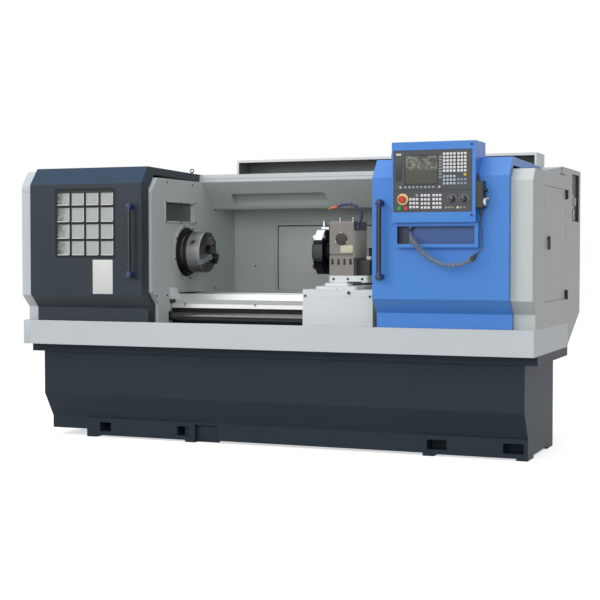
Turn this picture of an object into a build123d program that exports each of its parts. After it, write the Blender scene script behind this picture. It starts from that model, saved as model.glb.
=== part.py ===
import os

from build123d import *

os.makedirs("parts", exist_ok=True)

# Millimetres. X runs along the bed, Y to the back, Z up. The origin lies on the floor.

# Overall and shared values
overall_length = 3120.0
half_length = overall_length / 2
overrun = 5.0
seat_gap = 0.3
slide_gap = 0.4

# Base stand, a hollow casting on two feet
flange_top_z = 577.0
flange_thickness = 50.0
flange_front_y = -485.0
flange_back_y = 340.0
flange_round = 10.0
top_plate = 20.0
stand_end_inset = 73.0
stand_front_y = -468.0
stand_back_y = 290.0
slope_top_z = 268.0
slope_bottom_z = 118.0
skirt_y = -373.0
skirt_bottom_z = 16.0
stand_wall = 18.0
stand_rib = 24.0
stand_bays = 3
left_skirt_lift = 30.0
left_foot_inset = 243.0
left_foot_length = 735.0
right_foot_length = 590.0
foot_proud = 6.0
foot_depth = 150.0
pad_length = 64.0
pad_relief = 12.0
slot_length = 146.0
slot_height = 104.0
pocket_floor_z = 36.0
pocket_height = 56.0
pocket_depth = 118.0
left_pocket_width = 78.0
right_pocket_width = 114.0
left_pocket_outer_inset = 129.0
left_pocket_inner_inset = 78.0
right_pocket_inset = 80.0
anchor_hole_r = 13.0
anchor_setback = 75.0

# Chip tray, folded sheet over the stand
tray_front_y = -585.0
tray_back_y = 350.0
tray_height = 143.0
tray_back_height = 60.0
tray_sheet = 4.0
tray_corner = 45.0
hem_width = 10.0
ledge_drop = 30.0
ledge_depth = 36.0
ledge_thickness = 6.0

# Bed casting
bed_left_inset = 260.0
bed_right_inset = 180.0
bed_front_y = -305.0
bed_back_y = 95.0
bed_flange_bottom_z = 796.0
bed_flange_top_z = 826.0
bed_web = 30.0
bed_web_inset = 50.0
bed_foot_thickness = 28.0
bed_bays = 7
bed_rib = 28.0
way_z = 880.0
prism_y = -252.0
prism_half_top = 6.0
prism_half_base = 34.0
prism_base_z = 846.0
inner_way_z = 870.0
inner_way_width = 44.0
inner_way_half_gap = 54.0
way_channel_z = 836.0
rear_way_y = 20.0

# Spindle line
spindle_y = -105.0
spindle_z = 1130.0
spindle_bore_r = 41.0
spindle_seat_r = 60.0
spindle_tail_r = 52.0
nose_r = 100.0
nose_gap = 7.0
nose_length = 48.0
spindle_tail_length = 200.0
bearing_r = 90.0
bearing_width = 52.0
running_gap = 0.05

# Headstock casting on the bed
headstock_inset = 10.0
headstock_length = 545.0
headstock_front_y = -300.0
headstock_back_y = 90.0
headstock_top_z = 1370.0
headstock_wall = 40.0
headstock_round = 45.0

# Main motor and belt drive
motor_y = 330.0
motor_z = 960.0
motor_r = 130.0
motor_gap = 20.0
motor_length = 440.0
motor_fan_length = 60.0
motor_fan_r = 118.0
motor_fins = 12
motor_fin_height = 10.0
motor_fin_width = 9.0
motor_foot_height = 70.0
motor_foot_inset = 130.0
motor_foot_length = 260.0
motor_shaft_r = 24.0
motor_shaft_depth = 40.0
pulley_inset = 10.0
pulley_width = 60.0
spindle_pulley_r = 110.0
motor_pulley_r = 75.0
pulley_groove_depth = 7.0
pulley_grooves = 2
belt_thickness = 9.0
belt_inset = 3.0

# Chuck and jaws
chuck_plate_r = 118.0
chuck_plate_length = 50.0
chuck_length = 88.0
chuck_r = 125.0
chuck_bore_r = 42.0
chuck_round = 5.0
chuck_groove_inset = 12.0
chuck_groove_width = 8.0
chuck_groove_depth = 4.0
jaw_width = 33.0
jaw_slot_depth = 30.0
jaw_inner_r = 46.0
jaw_outer_r = 118.0
jaw_step_length = 24.0
jaw_first_rise = 18.0
jaw_step_rise = 14.0
jaw_first_angle = 90.0
key_socket_r = 9.0
key_socket_depth = 34.0

# Carriage ball screw
screw_y = -300.0
screw_z = 745.0
screw_r = 27.0
screw_setback = 17.0
screw_block_length = 46.0
screw_block_front_y = -344.0
screw_block_bottom_z = 700.0
screw_block_clear = 4.0
z_motor_half = 60.0
z_motor_flange = 16.0
z_motor_length = 140.0
z_motor_cap = 36.0
z_motor_cap_half = 48.0

# Doors, each one folded sheet on a ledge and a beam
door_width = 750.0
left_door_inset = 92.0
right_door_inset = 120.0
door_sheet = 3.0
door_face_y = -645.0
door_strip_y = -565.0
door_slope_low_z = 800.0
door_slope_high_z = 878.0
door_chamfer_low_z = 1530.0
door_roof_front_z = 1630.0
door_roof_back_y = 165.0
door_roof_back_z = 1616.0
door_flange_back_y = 118.0
strip_flange = 30.0
slope_flange = 20.0
face_flange = 38.0
roof_flange = 45.0
deep_strip_flange = 90.0
deep_slope_flange = 76.0
deep_face_flange = 90.0
pane_size = 84.0
pane_bar = 14.0
pane_count = 4
window_center_z = 1300.0
window_glass = 4.0
window_overlap = 10.0

# Door handles
left_handle_inset = 67.0
right_handle_inset = 45.0
handle_bottom_z = 975.0
handle_length = 440.0
handle_reach = 46.0
handle_tube_r = 13.0
handle_end_length = 44.0
handle_end_width = 36.0
handle_end_bevel = 7.0

# Fixed covers behind the doors
cover_sheet = 3.0
cover_strip_y = -525.0
cover_face_y = -600.0
cover_slope_low_z = 800.0
cover_slope_high_z = 872.0
cover_chamfer_low_z = 1506.0
cover_roof_front_y = -548.0
cover_roof_z = 1568.0
cover_bottom_lift = 6.0
cover_end_gap = 3.0
right_cover_length = 850.0
end_panel_rise_y = -316.0
end_panel_level_y = 175.0
end_panel_back_y = 286.0
bulkhead_gap = 46.0
bulkhead_setback = 55.0
bulkhead_sheet = 4.0
bulkhead_hole_r = 124.0
bed_clearance = 4.0
window_front_y = -380.0
window_back_y = 3.0
window_low_z = 1316.0
window_high_z = 1428.0
window_frame = 10.0
window_proud = 5.0
window_pan_depth = 40.0
collar_outer_r = 137.0
collar_inner_r = 122.0
collar_length = 24.0

# Rear wall, beam, lamp and roof duct
beam_front_y = 131.0
beam_back_y = 181.0
beam_wall = 4.0
rear_top_z = 1618.0
rear_wall_y = 617.0
rear_wall_bottom_z = 870.0
rear_lip_y = 332.0
rear_lip_z = 662.0
rear_right_gap = 4.0
rear_sheet = 3.0
hood_low_y = 312.0
hood_low_z = 1405.0
hatch_left_inset = 313.0
hatch_right_inset = 286.0
hatch_low_z = 884.0
hatch_high_z = 1297.0
hatch_proud = 4.0
lamp_inset = 154.0
lamp_length = 635.0
lamp_height = 104.0
lamp_corner = 22.0
lamp_depth = 46.0
lamp_recess = 36.0
lamp_wall = 6.0
lamp_offset = 38.0
duct_left_inset = 113.0
duct_right_inset = 199.0
duct_front_y = 400.0
duct_height = 102.0
duct_sheet = 3.0
duct_lip = 16.0

# Electrical cabinet and isolator
cabinet_length = 694.0
cabinet_front_y = 287.0
cabinet_back_y = 745.0
cabinet_back_low_z = 767.0
cabinet_low_z = 580.0
cabinet_step_z = 642.0
cabinet_step_y = 354.0
cabinet_sheet = 3.0
recess_front_y = 474.0
recess_back_y = 697.0
recess_low_z = 1312.0
recess_high_z = 1591.0
recess_depth = 14.0
isolator_y = 554.0
isolator_z = 1429.0
isolator_r = 27.0
isolator_ring = 6.0
isolator_grip_width = 14.0
isolator_grip_length = 46.0
isolator_grip_height = 16.0

# Side access door
side_door_front_y = -314.0
side_door_back_y = 274.0
side_door_low_z = 861.0
side_door_high_z = 1488.0
side_door_gap = 2.0
hinge_y = 280.0
hinge_offset = 8.5
hinge_r = 8.0
hinge_pin_r = 4.0
hinge_half = 27.0
hinge_leaf = 2.5
hinge_leaf_width = 30.0
upper_hinge_z = 1462.0
lower_hinge_z = 884.0
latch_y = -220.0
latch_z = 1205.0
latch_length = 74.0
latch_width = 24.0
latch_plate = 4.0
latch_lever = 9.0
latch_boss_r = 10.0

# Saddle and apron
carriage_left_x = 180.0
carriage_length = 424.0
apron_front_y = -380.0
apron_bottom_z = 700.0
apron_top_z = 872.0
apron_round = 12.0
nut_back_y = -262.0
nut_top_z = 788.0
bed_side_gap = 6.0
saddle_top_z = 916.0
saddle_back_y = 130.0
saddle_skirt_z = 862.0
bridge_left_inset = 32.0
bridge_length = 258.0
wing_clearance = 5.0

# Cross slide, stepped like its guards
slide_front_y = -364.0
slide_back_y = 256.0
slide_low_inset = 72.0
slide_low_length = 248.0
slide_low_height = 18.0
slide_mid_inset = 76.0
slide_mid_length = 150.0
slide_mid_front_y = -230.0
slide_mid_height = 16.0
slide_top_inset = 38.0
slide_top_length = 247.0
slide_top_front_y = -62.0
slide_top_height = 40.0
slide_corner = 10.0

# Turret
turret_y = 60.0
turret_hub_length = 35.0
turret_disc_thickness = 58.0
turret_flats = 264.0
turret_stations = 8
turret_hub_r = 78.0
turret_boss_r = 52.0
turret_boss_length = 10.0
station_slot_width = 30.0
station_slot_depth = 26.0
tool_overhang = 14.0
tool_shank = 24.0
tool_clamp_width = 84.0
tool_clamp_height = 12.0
tool_clamp_inset = 4.0
turret_body_inset = 37.0
turret_body_width = 152.0
turret_body_front_y = -40.0
turret_body_back_y = 200.0
turret_body_top_z = 1312.0
turret_body_round = 14.0
turret_cover_z = 1207.0
turret_cover_r = 37.0
turret_cover_proud = 5.0
turret_neck_z = 1106.0
turret_neck_height = 12.0
turret_neck_depth = 8.0
turret_notches = 4
turret_notch_width = 15.0
turret_notch_height = 34.0
turret_notch_depth = 22.0
turret_notch_z = 1072.0
turret_motor_length = 81.0
turret_motor_front_y = 16.0
turret_motor_back_y = 150.0
turret_motor_height = 92.0
turret_motor_round = 10.0

# Coolant hose, a chain of plug-in segments with one nozzle
hose_y = 0.0
hose_neck_r = 6.0
hose_socket_r = 9.5
hose_segments = 8
hose_overlap = 2.0
hose_start_reach = 11.0
hose_start_z = 1294.0
hose_bulge_reach = 34.0
hose_bulge_z = 1360.0
hose_top_reach = -28.0
hose_top_z = 1413.0
hose_end_reach = -118.0
hose_end_z = 1401.0
hose_fitting = 24.0
hose_fitting_height = 26.0
nozzle_length = 58.0
nozzle_root_r = 9.0
nozzle_tip_r = 4.0
nozzle_bore_r = 2.5

# Tailstock
tail_end_gap = 125.0
tail_length = 350.0
tail_foot_half = 106.0
tail_foot_height = 60.0
tail_barrel_r = 70.0
quill_r = 38.0
quill_reach = 53.0
quill_length = 356.0
quill_bore_wall = 30.0
centre_r = 24.0
centre_length = 62.0
feed_screw_r = 14.0
feed_screw_length = 173.5
wheel_gap = 17.0
wheel_width = 20.0
wheel_r = 100.0
wheel_rim = 13.0
wheel_hub_r = 26.0
wheel_hub_gap = 0.5
wheel_spokes = 3
wheel_spoke_width = 20.0
wheel_knob_r = 10.0
wheel_knob_length = 60.0

# Control box on the blue door
box_inset = 132.0
box_width = 456.0
box_low_z = 1286.0
box_high_z = 1710.0
box_front_y = -713.0
box_back_y = -507.0
box_sheet = 4.0
panel_left_margin = 9.0
panel_right_margin = 18.0
panel_low_z = 1340.0
panel_high_z = 1666.0
panel_thickness = 6.0
panel_recess = 2.0
panel_rim = 6.0
panel_rim_thickness = 4.0
screen_inset = 69.0
screen_width = 172.0
screen_low_z = 1490.0
screen_high_z = 1636.0
screen_proud = 2.0
pocket_inset = 16.0
pocket_overhang = 7.0
pocket_low_z = 1154.0
pocket_front_y = -683.0
pocket_left_wall = 7.0
pocket_right_wall = 23.0
pocket_open_low_z = 1176.0
pocket_open_high_z = 1265.0
pocket_lip = 6.0

# Buttons and knobs on the panel
stop_mushroom_inset = 53.0
stop_mushroom_z = 1408.0
mushroom_r = 20.0
mushroom_front_y = -745.0
mushroom_head = 20.0
mushroom_bevel = 6.0
button_stem_r = 9.0
button_stem_depth = 18.0
start_inset = 35.0
stop_inset = 70.0
push_z = 1362.0
push_size = 20.0
push_proud = 6.0
push_round = 2.0
feed_knob_inset = 108.0
spindle_knob_inset = 45.0
knob_z = 1408.0
knob_r = 17.0
knob_height = 20.0
knob_taper = 3.0

# Pendant with its dial, curly cord and lead
pendant_width = 58.0
pendant_back_gap = 5.0
pendant_thickness = 38.0
pendant_low_z = 1342.0
pendant_high_z = 1500.0
pendant_round = 8.0
pendant_hook_height = 36.0
pendant_hook_width = 26.0
pendant_hook_thickness = 8.0
dial_z = 1392.0
dial_r = 26.0
dial_thickness = 14.0
dial_grip_r = 5.0
dial_grip_length = 12.0
selector_z = 1454.0
selector_r = 9.0
selector_height = 12.0
selector_spacing = 26.0
cord_r = 12.0
lead_r = 3.5
gland_r = 15.0
gland_length = 10.0
relief_length = 16.0
relief_r = 6.0
gland_inset = 74.0
gland_drop = 23.0
cord_bends = [
    (920.0, -684.0, 1212.0),
    (946.0, -712.0, 1180.0),
    (990.0, -728.0, 1136.0),
    (1048.0, -732.0, 1090.0),
    (1120.0, -730.0, 1060.0),
    (1194.0, -724.0, 1062.0),
    (1256.0, -714.0, 1088.0),
    (1288.0, -702.0, 1124.0),
]
lead_first_share = 0.45
lead_bends = [(1306.0, -690.0, 1184.0), (1302.0, -682.0, 1240.0)]
lead_drop = 44.0
fillet_share = 0.45

# Places that follow from the sizes
stand_half_length = half_length - stand_end_inset
left_foot_x = left_foot_inset - stand_half_length
bed_left_x = bed_left_inset - half_length
bed_right_x = half_length - bed_right_inset
headstock_left_x = bed_left_x + headstock_inset
headstock_right_x = headstock_left_x + headstock_length
nose_left_x = headstock_right_x + nose_gap
nose_right_x = nose_left_x + nose_length
spindle_left_x = headstock_left_x - spindle_tail_length
pulley_left_x = spindle_left_x + pulley_inset
pulley_right_x = pulley_left_x + pulley_width
motor_left_x = pulley_right_x + motor_gap
motor_right_x = motor_left_x + motor_length
motor_foot_left_x = motor_left_x + motor_foot_inset
chuck_left_x = nose_right_x + chuck_plate_length
chuck_right_x = chuck_left_x + chuck_length
chuck_groove_x = chuck_left_x + chuck_groove_inset
screw_left_x = headstock_right_x - screw_setback
cover_left_x = tray_sheet - half_length
bulkhead_x = headstock_right_x + bulkhead_gap
end_panel_x = half_length - tray_sheet
right_cover_left_x = end_panel_x - right_cover_length
cabinet_right_x = end_panel_x
cabinet_left_x = cabinet_right_x - cabinet_length
rear_right_x = cabinet_left_x - rear_right_gap
hatch_left_x = bulkhead_x + hatch_left_inset
hatch_right_x = right_cover_left_x - hatch_right_inset
lamp_left_x = bulkhead_x + lamp_inset
duct_left_x = bulkhead_x + duct_left_inset
duct_right_x = half_length - duct_right_inset
duct_top_z = rear_top_z + duct_height
carriage_right_x = carriage_left_x + carriage_length
bridge_left_x = carriage_left_x + bridge_left_inset
bridge_right_x = bridge_left_x + bridge_length
slide_low_left_x = carriage_left_x + slide_low_inset
slide_mid_left_x = carriage_left_x + slide_mid_inset
slide_top_left_x = carriage_left_x + slide_top_inset
turret_body_left_x = carriage_left_x + turret_body_inset
turret_body_right_x = turret_body_left_x + turret_body_width
disc_right_x = turret_body_left_x - turret_hub_length
turret_disc_left_x = disc_right_x - turret_disc_thickness
tail_right_x = bed_right_x - tail_end_gap
tail_left_x = tail_right_x - tail_length
quill_left_x = tail_left_x - quill_reach
wheel_left_x = tail_right_x + wheel_gap
wheel_hub_left_x = tail_right_x + wheel_hub_gap
feed_screw_left_x = wheel_hub_left_x - feed_screw_length
left_door_x = left_door_inset - half_length
right_door_x = half_length - right_door_inset - door_width
window_center_x = left_door_x + door_width / 2
left_handle_x = left_door_x + door_width - left_handle_inset
right_handle_x = right_door_x + right_handle_inset
box_left_x = right_door_x + box_inset
box_right_x = box_left_x + box_width
panel_left_x = box_left_x + panel_left_margin
panel_right_x = box_right_x - panel_right_margin
screen_left_x = panel_left_x + screen_inset
pocket_left_x = box_left_x + pocket_inset
pocket_right_x = box_right_x + pocket_overhang
pocket_open_left_x = pocket_left_x + pocket_left_wall
pocket_open_right_x = pocket_right_x - pocket_right_wall
stop_mushroom_x = panel_left_x + stop_mushroom_inset
start_x = panel_left_x + start_inset
stop_x = panel_left_x + stop_inset
feed_knob_x = panel_right_x - feed_knob_inset
spindle_knob_x = panel_right_x - spindle_knob_inset
gland_x = pocket_left_x + gland_inset

# Planes and axes that several pieces share
spindle_plane = Plane(origin=(0, spindle_y, spindle_z), x_dir=(1, 0, 0), z_dir=(0, -1, 0))
spindle_axis = Axis((0, spindle_y, spindle_z), (1, 0, 0))
tray_top_z = flange_top_z + tray_height
tray_floor_z = flange_top_z + tray_sheet
ledge_top_z = tray_top_z - ledge_drop
door_bottom_z = ledge_top_z + seat_gap
beam_top_z = door_roof_back_z - door_sheet - seat_gap
screw_right_x = bed_right_x + z_motor_flange - seat_gap


def block(x, y, z, mode=Mode.ADD):
    """A box between the two limits given on each axis."""
    with Locations(((x[0] + x[1]) / 2, (y[0] + y[1]) / 2, (z[0] + z[1]) / 2)):
        Box(x[1] - x[0], y[1] - y[0], z[1] - z[0], mode=mode)


def moved_path(points, depths):
    """The corners of a folded path whose runs are each moved to their right by a depth."""
    runs = [Vector(*b) - Vector(*a) for a, b in zip(points, points[1:])]
    sides = [Vector(run.Y, -run.X).normalized() for run in runs]
    corners = [Vector(*points[0]) + sides[0] * depths[0]]
    for i in range(1, len(runs)):
        before = Vector(*points[i]) + sides[i - 1] * depths[i - 1]
        after = Vector(*points[i]) + sides[i] * depths[i]
        reach = (after - before).cross(runs[i]).Z / runs[i - 1].cross(runs[i]).Z
        corners.append(before + runs[i - 1] * reach)
    corners.append(Vector(*points[-1]) + sides[-1] * depths[-1])
    return [(corner.X, corner.Y) for corner in corners]


def folded(points, depths):
    """The closed outline between a folded path and its moved copy."""
    return points + moved_path(points, depths)[::-1]


def finish(piece, name):
    """Labels a finished piece and writes it."""
    piece.label = name
    export_step(piece, f"parts/{name}.step")


# Base stand
stand_outline = [
    (skirt_y, skirt_bottom_z),
    (skirt_y, slope_bottom_z),
    (stand_front_y, slope_top_z),
    (stand_front_y, flange_top_z),
    (stand_back_y, flange_top_z),
    (stand_back_y, skirt_bottom_z),
]
cavity_top_z = flange_top_z - top_plate
cavity_outline = [
    (skirt_y + stand_wall, -overrun),
    (skirt_y + stand_wall, slope_bottom_z),
    (stand_front_y + stand_wall, slope_top_z),
    (stand_front_y + stand_wall, cavity_top_z),
    (stand_back_y - stand_wall, cavity_top_z),
    (stand_back_y - stand_wall, -overrun),
]
bay_pitch = (2 * stand_half_length - 2 * stand_wall + stand_rib) / stand_bays
foot_front_y = skirt_y - foot_proud
left_foot_end_x = left_foot_x + left_foot_length
right_foot_x = stand_half_length - right_foot_length
left_pocket_xs = (left_foot_x + left_pocket_outer_inset, left_foot_end_x - left_pocket_inner_inset)
right_pocket_xs = (right_foot_x + right_pocket_inset, stand_half_length - right_pocket_inset)

with BuildPart() as base_stand:
    with BuildSketch(Plane.YZ.offset(-stand_half_length)):
        Polygon(*stand_outline, align=None)
    extrude(amount=2 * stand_half_length)
    block(
        (-half_length, half_length),
        (flange_front_y, flange_back_y),
        (flange_top_z - flange_thickness, flange_top_z),
    )
    fillet(base_stand.edges().filter_by(Axis.X).group_by(Axis.Z)[-1], radius=flange_round / 2)
    for bay in range(stand_bays):
        with BuildSketch(Plane.YZ.offset(stand_wall - stand_half_length + bay * bay_pitch)):
            Polygon(*cavity_outline, align=None)
        extrude(amount=bay_pitch - stand_rib, mode=Mode.SUBTRACT)
    block(
        (-stand_half_length - overrun, left_foot_x),
        (skirt_y - overrun, stand_back_y + overrun),
        (0, skirt_bottom_z + left_skirt_lift),
        Mode.SUBTRACT,
    )
    block(
        (left_foot_end_x, left_foot_end_x + slot_length),
        (skirt_y - overrun, stand_back_y + overrun),
        (0, slot_height),
        Mode.SUBTRACT,
    )
    for x_low, x_high in ((left_foot_x, left_foot_end_x), (right_foot_x, stand_half_length)):
        block((x_low, x_high), (foot_front_y, foot_front_y + foot_depth), (0, slope_bottom_z))
        block((x_low, x_high), (stand_back_y - foot_depth, stand_back_y), (0, slope_bottom_z))
        block(
            (x_low + pad_length, x_high - pad_length),
            (foot_front_y - overrun, stand_back_y + overrun),
            (0, pad_relief),
            Mode.SUBTRACT,
        )
    for xs, width in ((left_pocket_xs, left_pocket_width), (right_pocket_xs, right_pocket_width)):
        for x in xs:
            limits_x = (x - width / 2, x + width / 2)
            limits_z = (pocket_floor_z, pocket_floor_z + pocket_height)
            block(limits_x, (foot_front_y - overrun, foot_front_y + pocket_depth), limits_z, Mode.SUBTRACT)
            block(limits_x, (stand_back_y - pocket_depth, stand_back_y + overrun), limits_z, Mode.SUBTRACT)
            for y in (foot_front_y + anchor_setback, stand_back_y - anchor_setback):
                with Locations((x, y, pocket_floor_z / 2)):
                    Cylinder(anchor_hole_r, pocket_floor_z + overrun, mode=Mode.SUBTRACT)
finish(base_stand.part, "base_stand")

# Chip tray with its rolled front hem and the ledge under the doors
with BuildPart() as chip_tray:
    with BuildSketch(Plane.XY.offset(flange_top_z)):
        Polygon(
            (-half_length, tray_back_y),
            (-half_length, tray_front_y + tray_corner),
            (tray_corner - half_length, tray_front_y),
            (half_length, tray_front_y),
            (half_length, tray_back_y),
            align=None,
        )
    extrude(amount=tray_height)
    offset(amount=-tray_sheet, openings=chip_tray.faces().sort_by(Axis.Z)[-1])
    block(
        (tray_sheet - half_length, half_length - tray_sheet),
        (tray_back_y - tray_sheet - overrun, tray_back_y + overrun),
        (flange_top_z + tray_back_height, tray_top_z + overrun),
        Mode.SUBTRACT,
    )
    block(
        (tray_corner - half_length, half_length),
        (tray_front_y, tray_front_y + hem_width),
        (tray_top_z - tray_sheet, tray_top_z),
    )
    block(
        (tray_corner - half_length, half_length),
        (tray_front_y, tray_front_y + tray_sheet + ledge_depth),
        (ledge_top_z - ledge_thickness, ledge_top_z),
    )
finish(chip_tray.part, "chip_tray")

# Bed, one section with ways on top and cross ribs between two webs
bed_bottom_z = tray_floor_z
web_front_y = bed_front_y + bed_web_inset
web_back_y = bed_back_y - bed_web_inset
inner_front_y = spindle_y - inner_way_half_gap
inner_back_y = spindle_y + inner_way_half_gap
bed_outline = [
    (bed_front_y, bed_bottom_z),
    (bed_front_y, bed_bottom_z + bed_foot_thickness),
    (web_front_y, bed_bottom_z + 2 * bed_foot_thickness),
    (web_front_y, bed_flange_bottom_z),
    (bed_front_y, bed_flange_bottom_z),
    (bed_front_y, bed_flange_top_z),
    (prism_y - prism_half_base, bed_flange_top_z),
    (prism_y - prism_half_base, prism_base_z),
    (prism_y - prism_half_top, way_z),
    (prism_y + prism_half_top, way_z),
    (prism_y + prism_half_base, prism_base_z),
    (prism_y + prism_half_base, way_channel_z),
    (inner_front_y - inner_way_width, way_channel_z),
    (inner_front_y - inner_way_width, inner_way_z),
    (inner_front_y, inner_way_z),
    (inner_front_y, bed_flange_bottom_z),
    (inner_back_y, bed_flange_bottom_z),
    (inner_back_y, inner_way_z),
    (inner_back_y + inner_way_width, inner_way_z),
    (inner_back_y + inner_way_width, way_channel_z),
    (rear_way_y, way_channel_z),
    (rear_way_y, way_z),
    (bed_back_y, way_z),
    (bed_back_y, bed_flange_bottom_z),
    (web_back_y, bed_flange_bottom_z),
    (web_back_y, bed_bottom_z + 2 * bed_foot_thickness),
    (bed_back_y, bed_bottom_z + bed_foot_thickness),
    (bed_back_y, bed_bottom_z),
]
bed_pitch = (bed_right_x - bed_left_x - bed_rib) / bed_bays
with BuildPart() as bed:
    with BuildSketch(Plane.YZ.offset(bed_left_x)):
        Polygon(*bed_outline, align=None)
    extrude(amount=bed_right_x - bed_left_x)
    for bay in range(bed_bays):
        bay_left_x = bed_left_x + bed_rib + bay * bed_pitch
        block(
            (bay_left_x, bay_left_x + bed_pitch - bed_rib),
            (web_front_y + bed_web, web_back_y - bed_web),
            (bed_bottom_z - overrun, bed_flange_bottom_z - bed_foot_thickness),
            Mode.SUBTRACT,
        )
        block(
            (bay_left_x, bay_left_x + bed_pitch - bed_rib),
            (inner_front_y, inner_back_y),
            (bed_bottom_z, bed_flange_bottom_z + overrun),
            Mode.SUBTRACT,
        )
finish(bed.part, "bed")

# Headstock, a box open to the bed with a bored wall at each end
with BuildPart() as headstock:
    block(
        (headstock_left_x, headstock_right_x),
        (headstock_front_y, headstock_back_y),
        (way_z, headstock_top_z),
    )
    fillet(headstock.edges().filter_by(Axis.X).group_by(Axis.Z)[-1], radius=headstock_round)
    block(
        (headstock_left_x + bearing_width, headstock_right_x - bearing_width),
        (headstock_front_y + headstock_wall, headstock_back_y - headstock_wall),
        (way_z - overrun, headstock_top_z - headstock_wall),
        Mode.SUBTRACT,
    )
    with BuildSketch(Plane.YZ.offset(headstock_left_x - overrun)):
        with Locations((spindle_y, spindle_z)):
            Circle(bearing_r + running_gap)
    extrude(amount=headstock_right_x - headstock_left_x + 2 * overrun, mode=Mode.SUBTRACT)
finish(headstock.part, "headstock")

# Bearings in the two headstock walls
with BuildPart() as spindle_bearings:
    for left_x in (headstock_left_x, headstock_right_x - bearing_width):
        with BuildSketch(Plane.YZ.offset(left_x)):
            with Locations((spindle_y, spindle_z)):
                Circle(bearing_r)
                Circle(spindle_seat_r + running_gap, mode=Mode.SUBTRACT)
        extrude(amount=bearing_width)
finish(spindle_bearings.part, "spindle_bearings")


def groove_points(outer_r):
    """The grooved rim of a belt pulley, from left to right."""
    pitch = (pulley_right_x - pulley_left_x) / pulley_grooves
    points = [(pulley_left_x, outer_r)]
    for i in range(pulley_grooves):
        points.append((pulley_left_x + (i + 1 / 2) * pitch, outer_r - pulley_groove_depth))
        points.append((pulley_left_x + (i + 1) * pitch, outer_r))
    return points


# Spindle with its pulley and flanged nose
with BuildPart() as spindle:
    with BuildSketch(spindle_plane):
        Polygon(
            (spindle_left_x, spindle_bore_r),
            (spindle_left_x, spindle_tail_r),
            (pulley_left_x, spindle_tail_r),
            *groove_points(spindle_pulley_r),
            (pulley_right_x, spindle_seat_r),
            (nose_left_x, spindle_seat_r),
            (nose_left_x, nose_r),
            (nose_right_x, nose_r),
            (nose_right_x, spindle_bore_r),
            align=None,
        )
    revolve(axis=spindle_axis)
finish(spindle.part, "spindle")

# Main motor, finned, on a foot that is bolted to the back of the headstock
motor_plane = Plane(origin=(0, motor_y, motor_z), x_dir=(1, 0, 0), z_dir=(0, -1, 0))
motor_axis = Axis((0, motor_y, motor_z), (1, 0, 0))
with BuildPart() as main_motor:
    with BuildSketch(Plane.YZ.offset(motor_left_x)):
        with Locations((motor_y, motor_z)):
            Circle(motor_r - motor_fin_height)
            with PolarLocations(motor_r - motor_fin_height, motor_fins):
                Rectangle(2 * motor_fin_height, motor_fin_width)
    extrude(amount=motor_right_x - motor_left_x)
    with BuildSketch(Plane.YZ.offset(motor_right_x)):
        with Locations((motor_y, motor_z)):
            Circle(motor_fan_r)
    extrude(amount=motor_fan_length)
    block(
        (motor_foot_left_x, motor_foot_left_x + motor_foot_length),
        (headstock_back_y, motor_y),
        (motor_z - motor_foot_height / 2, motor_z + motor_foot_height / 2),
    )
    with BuildSketch(Plane.YZ.offset(motor_left_x)):
        with Locations((motor_y, motor_z)):
            Circle(motor_shaft_r + running_gap)
    extrude(amount=motor_shaft_depth, mode=Mode.SUBTRACT)
finish(main_motor.part, "main_motor")

# Motor pulley on its shaft
with BuildPart() as motor_pulley:
    with BuildSketch(motor_plane):
        Polygon(
            (pulley_left_x, 0),
            *groove_points(motor_pulley_r),
            (pulley_right_x, motor_shaft_r),
            (motor_left_x + motor_shaft_depth - seat_gap, motor_shaft_r),
            (motor_left_x + motor_shaft_depth - seat_gap, 0),
            align=None,
        )
    revolve(axis=motor_axis)
finish(motor_pulley.part, "motor_pulley")

# Ribbed belt round both pulleys
with BuildPart() as drive_belts:
    with BuildSketch(Plane.YZ.offset(pulley_left_x + belt_inset)):
        with Locations((spindle_y, spindle_z)):
            Circle(spindle_pulley_r + seat_gap + belt_thickness)
        with Locations((motor_y, motor_z)):
            Circle(motor_pulley_r + seat_gap + belt_thickness)
        make_hull()
    extrude(amount=pulley_right_x - pulley_left_x - 2 * belt_inset)
    with BuildSketch(Plane.YZ.offset(pulley_left_x)):
        with Locations((spindle_y, spindle_z)):
            Circle(spindle_pulley_r + seat_gap)
        with Locations((motor_y, motor_z)):
            Circle(motor_pulley_r + seat_gap)
        make_hull()
    extrude(amount=pulley_right_x - pulley_left_x, mode=Mode.SUBTRACT)
finish(drive_belts.part, "drive_belts")

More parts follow.
